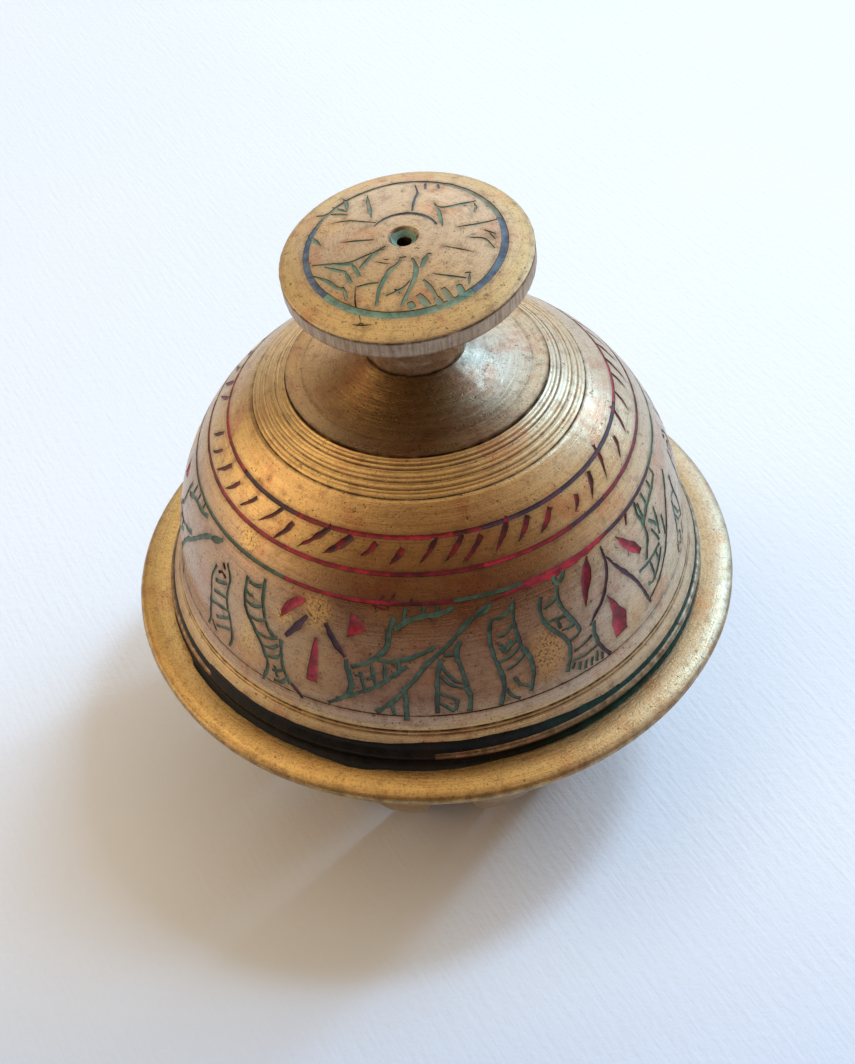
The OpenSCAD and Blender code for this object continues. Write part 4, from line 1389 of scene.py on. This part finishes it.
def lac(name, deep, bright, dirt, gloss=0.3, worn=0.35, shine=0.4, other=None):
    """Old lac in a cut: two tones with dirt in its grain, and another colour where "matted" says so."""
    m = Nodes(name)
    p = m.coords
    cloud = m.noise(p, 0.8, 3, 0.6)
    grain = m.noise(p, 4.5, 3, 0.7)
    colour = m.mix(m.ramp(cloud, 0.35, 0.65), deep, bright)
    colour = m.cover(colour, dirt, grain, 0.5, 0.68, worn)
    colour = m.cover(colour, dirt, m.layer("tone"), 0.55, 0.8, 0.6)
    if other:
        tint = m.mix(m.ramp(cloud, 0.35, 0.65), times(other, 0.5), other)
        colour = m.mix(m.layer("matted"), colour, tint)
    m.link(colour, m.shader.inputs["Base Color"])
    m.link(m.math("ADD", m.math("MULTIPLY", grain, 0.3), gloss), m.shader.inputs["Roughness"])
    m.shader.inputs["Specular IOR Level"].default_value = shine
    normal = m.bump(grain, 0.02)
    m.link(m.bump(cloud, 0.05, under=normal), m.shader.inputs["Normal"])
    return m.material


def iron(name):
    """Dark wire and hardware, brown with old rust, brighter where it rubs."""
    m = Nodes(name)
    p = m.coords
    cloud = m.noise(p, 0.5, 4, 0.6)
    grain = m.noise(p, 3.0, 3, 0.7)
    colour = m.mix(m.ramp(cloud, 0.4, 0.65), (0.16, 0.145, 0.13), (0.12, 0.06, 0.035))
    colour = m.cover(colour, (0.3, 0.28, 0.26), grain, 0.55, 0.7, 0.7)
    m.link(colour, m.shader.inputs["Base Color"])
    m.shader.inputs["Metallic"].default_value = 0.85
    m.link(m.math("ADD", m.math("MULTIPLY", cloud, 0.35), 0.3), m.shader.inputs["Roughness"])
    normal = m.bump(grain, 0.03)
    m.link(m.bump(cloud, 0.06, under=normal), m.shader.inputs["Normal"])
    return m.material


def paper(name):
    """Thick white paper with a faint laid grain, painted darker and bluer towards the front as painted shade.
    """
    m = Nodes(name)
    p = m.coords
    fibre = m.noise(p, 0.9, 5, 0.6)
    slant = m.add("ShaderNodeVectorRotate", rotation_type="Z_AXIS")
    m.link(p, slant.inputs["Vector"])
    slant.inputs["Angle"].default_value = math.radians(-25)
    laid = m.noise(slant.outputs[0], 1.35, 1, 0.5, stretch=(1.0, 0.09, 1.0))
    colour = m.mix(m.ramp(m.noise(p, 0.01, 2), 0.3, 0.7), (0.80, 0.815, 0.85), (0.83, 0.835, 0.855))
    split = m.add("ShaderNodeSeparateXYZ")
    m.link(p, split.inputs[0])
    # Painted shade: the paper is darker and bluer towards the front.
    painted_front_shade = m.ramp(split.outputs[1], -20, -70)
    colour = m.mix(painted_front_shade, colour, (0.76, 0.82, 0.92), "MULTIPLY")
    m.link(colour, m.shader.inputs["Base Color"])
    m.shader.inputs["Roughness"].default_value = 0.85
    m.shader.inputs["Specular IOR Level"].default_value = 0.2
    normal = m.bump(fibre, 0.12, 0.6)
    m.link(m.bump(laid, 0.08, 0.6, under=normal), m.shader.inputs["Normal"])
    return m.material


BODY_BRASS = brass("brass_bell", rough=0.22,
                   pink=(0.46, 0.285, 0.175), gold=(0.67, 0.43, 0.155), brown=(0.19, 0.095, 0.045))
KNOB_BRASS = brass("brass_knob", rough=0.44, lathe=0.008,
                   pink=(0.62, 0.46, 0.31), gold=(0.67, 0.48, 0.23), brown=(0.25, 0.14, 0.085))
CLAW_BRASS = brass("brass_claws", rough=0.20, lathe=0.02, pits=0.3, speckle=0.3,
                   pink=(0.46, 0.28, 0.14), gold=(0.58, 0.37, 0.13), brown=(0.17, 0.09, 0.04))
BOB_BRASS = brass("brass_bob", rough=0.4,
                  pink=(0.42, 0.29, 0.16), gold=(0.5, 0.34, 0.14), brown=(0.14, 0.08, 0.04))
LACS = {
    "red": lac("lac_red", (0.20, 0.008, 0.018), (0.47, 0.018, 0.045), (0.06, 0.007, 0.009)),
    "maroon": lac("lac_maroon", (0.09, 0.006, 0.014), (0.24, 0.010, 0.026), (0.02, 0.006, 0.006)),
    "slash": lac("lac_slash", (0.05, 0.007, 0.012), (0.26, 0.010, 0.018), (0.02, 0.005, 0.006)),
    "violet": lac("lac_violet", (0.036, 0.014, 0.030), (0.088, 0.027, 0.055), (0.02, 0.012, 0.02)),
    "green": lac("lac_green", (0.035, 0.080, 0.050), (0.085, 0.165, 0.105), (0.010, 0.018, 0.011),
                 worn=0.5),
    "black": lac("lac_black", (0.006, 0.0055, 0.005), (0.012, 0.011, 0.009), (0.016, 0.010, 0.007),
                 gloss=0.14, shine=0.12, other=(0.008, 0.055, 0.042)),
}
# Piece and slot of each colour in the side's cuts
LAC_PIECES = {
    "red": ("lac_petals_red", "lac_red"),
    "maroon": ("lac_lines_maroon", "lac_red"),
    "slash": ("lac_slashes", "lac_red"),
    "violet": ("lac_stems_violet", "lac_dark"),
    "green": ("lac_leaves_green", "lac_green"),
    "black": ("lac_lines_black", "lac_dark"),
}
KNOB_LACS = {
    "knob_green": lac("lac_knob_green", (0.09, 0.17, 0.12), (0.19, 0.31, 0.21), (0.30, 0.25, 0.15),
                      gloss=0.4, worn=0.5),
    "knob_blue": lac("lac_knob_blue", (0.05, 0.07, 0.11), (0.12, 0.17, 0.21), (0.03, 0.035, 0.04),
                     gloss=0.35, worn=0.4),
    "knob_pale": lac("lac_knob_pale", (0.17, 0.17, 0.11), (0.24, 0.27, 0.20), (0.10, 0.08, 0.05),
                     gloss=0.4, worn=0.5),
}
IRON = iron("iron")


# ---------------------------------------------------------------- pieces

side = engrave_side()
bell_casting(BODY_BRASS, side)
for colour, material in LACS.items():
    name, slot = LAC_PIECES[colour]
    lac_shell(side, colour).build(name, material, slot=slot)
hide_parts("lac_upper_line", "lac_border_line")
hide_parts("lac_lower_line")

face = engrave_face()
knob_casting(KNOB_BRASS, face)
for colour, material in KNOB_LACS.items():
    piece = lac_shell(face, colour).build("lac_" + colour, material, slot="lac_green")
    if colour == "knob_green":
        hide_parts("lac_knob_ring")
dimple_lac(KNOB_LACS["knob_green"])
dark_bands(LACS["black"])
for index, node in enumerate(claw_nodes):
    make_claw(node, index, len(claw_nodes), CLAW_BRASS)
for node in ("eye_bolt", "crown_washer", "lock_nut", "clapper_link", "clapper_rod", "clapper_bob"):
    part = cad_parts[node]
    part.data.materials.clear()
    part.data.materials.append(BOB_BRASS if node == "clapper_bob" else IRON)
    for material_slot in part.material_slots:
        material_slot.material = part.data.materials[0]


# ---------------------------------------------------------------- camera, floor and light

LENS, SENSOR = 57.5188, 36.0                # the sensor's width lies along the picture's long side
ELEVATION, ROLL = math.radians(46.2), math.radians(5.53)
DISTANCE = 219.3                            # from the middle of the rim
SLIDE_X, SLIDE_Y = 0.61, -3.19              # the rim's middle from the middle of the picture


def make_camera():
    back = Vector((0, -math.cos(ELEVATION), math.sin(ELEVATION)))
    right = Vector((1, 0, 0))
    up = Vector((0, math.sin(ELEVATION), math.cos(ELEVATION)))
    place = back * DISTANCE - right * SLIDE_X - up * SLIDE_Y + Vector((0, 0, LIFT))
    across = right * math.cos(ROLL) - up * math.sin(ROLL)
    upright = right * math.sin(ROLL) + up * math.cos(ROLL)
    data = bpy.data.cameras.new("camera")
    data.sensor_width = SENSOR
    data.lens = LENS
    data.clip_start, data.clip_end = 0.005, 20
    camera = bpy.data.objects.new("camera", data)
    bpy.context.scene.collection.objects.link(camera)
    camera.matrix_world = Matrix(((across.x, upright.x, back.x, place.x * MM),
                                  (across.y, upright.y, back.y, place.y * MM),
                                  (across.z, upright.z, back.z, place.z * MM),
                                  (0, 0, 0, 1)))
    bpy.context.scene.camera = camera


# (name, place and what it aims at in metres, size in metres, watts, colour, whether the brass mirrors it)
LAMPS = [
    ("window", (0.861, 0.50, 0.654), (0, 0, 0.03), (0.3, 0.9), 4.2, (0.34, 0.66, 1.0), True),
    ("window_foot", (0.94, 0.66, 0.35), (0, 0, 0.01), (0.10, 0.20), 6, (0.45, 0.72, 1.0), False),
    ("window_head", (0.50, 0.24, 0.953), (0, 0, 0.03), (0.16, 0.22), 4.7, (0.45, 0.7, 1.0), False),
]


def area_light(name, place, aim, size, power, colour, mirrored):
    data = bpy.data.lights.new(name, "AREA")
    data.shape = "RECTANGLE"
    data.size, data.size_y = size
    data.energy = power
    data.color = colour
    lamp = bpy.data.objects.new(name, data)
    lamp.location = place
    lamp.rotation_mode = "QUATERNION"
    lamp.rotation_quaternion = (Vector(aim) - Vector(place)).to_track_quat("-Z", "Y")
    lamp.visible_glossy = mirrored
    bpy.context.scene.collection.objects.link(lamp)


def make_floor():
    half = 3.0                              # metres
    corners = [(-half, -half, 0), (half, -half, 0), (half, half, 0), (-half, half, 0)]
    mesh = bpy.data.meshes.new("floor")
    mesh.from_pydata(corners, [], [(0, 1, 2, 3)])
    floor = bpy.data.objects.new("floor", mesh)
    bpy.context.scene.collection.objects.link(floor)
    mesh.materials.append(paper("paper"))


ROOM = (0.95, 0.815, 0.61)
# What the room holds: direction, cosine from it where the patch begins and where it is full, colour
ROOM_PATCHES = [
    ((-0.9, 0.0, 0.5), 0.55, 0.95, (1.9, 1.56, 1.08)),          # lit wall at the left
    ((-0.45, 0.70, 0.52), 0.82, 0.97, (0.22, 0.15, 0.065)),     # dark corner behind it
    ((-0.05, -0.95, 0.20), 0.0, 0.8, (0.25, 0.15, 0.10)),       # dim side in front
    ((0.0, 0.95, 0.25), 0.78, 0.98, (1.55, 1.65, 1.7)),         # bright wall at the back
    ((0.62, 0.62, 0.50), 0.86, 0.98, (1.25, 1.6, 2.1)),         # cool glow of the window
]


def make_world():
    """A warm room round the bell, seen in the brass and behind the floor."""
    world = bpy.data.worlds.new("room")
    bpy.context.scene.world = world
    world.use_nodes = True
    tree = world.node_tree
    coords = tree.nodes.new("ShaderNodeTexCoord")

    def toward(direction, low, high):
        turn = tree.nodes.new("ShaderNodeVectorMath")
        turn.operation = "DOT_PRODUCT"
        turn.inputs[1].default_value = Vector(direction).normalized()
        tree.links.new(coords.outputs["Generated"], turn.inputs[0])
        ramp = tree.nodes.new("ShaderNodeMapRange")
        ramp.interpolation_type = "SMOOTHSTEP"
        ramp.inputs["From Min"].default_value = low
        ramp.inputs["From Max"].default_value = high
        tree.links.new(turn.outputs["Value"], ramp.inputs["Value"])
        return ramp.outputs[0]

    def blend(share, under, over):
        tint = tree.nodes.new("ShaderNodeMix")
        tint.data_type = "RGBA"
        if isinstance(under, tuple):
            tint.inputs["A"].default_value = (*under, 1.0)
        else:
            tree.links.new(under, tint.inputs["A"])
        tint.inputs["B"].default_value = (*over, 1.0)
        tree.links.new(share, tint.inputs["Factor"])
        return next(o for o in tint.outputs if o.type == "RGBA")

    sky = ROOM
    for direction, begins, full, light in ROOM_PATCHES:
        sky = blend(toward(direction, begins, full), sky, light)
    tree.links.new(sky, tree.nodes["Background"].inputs["Color"])
    tree.nodes["Background"].inputs["Strength"].default_value = 1.0


make_camera()
make_floor()
make_world()
for lamp in LAMPS:
    area_light(*lamp)
bpy.context.scene.view_settings.view_transform = "Standard"
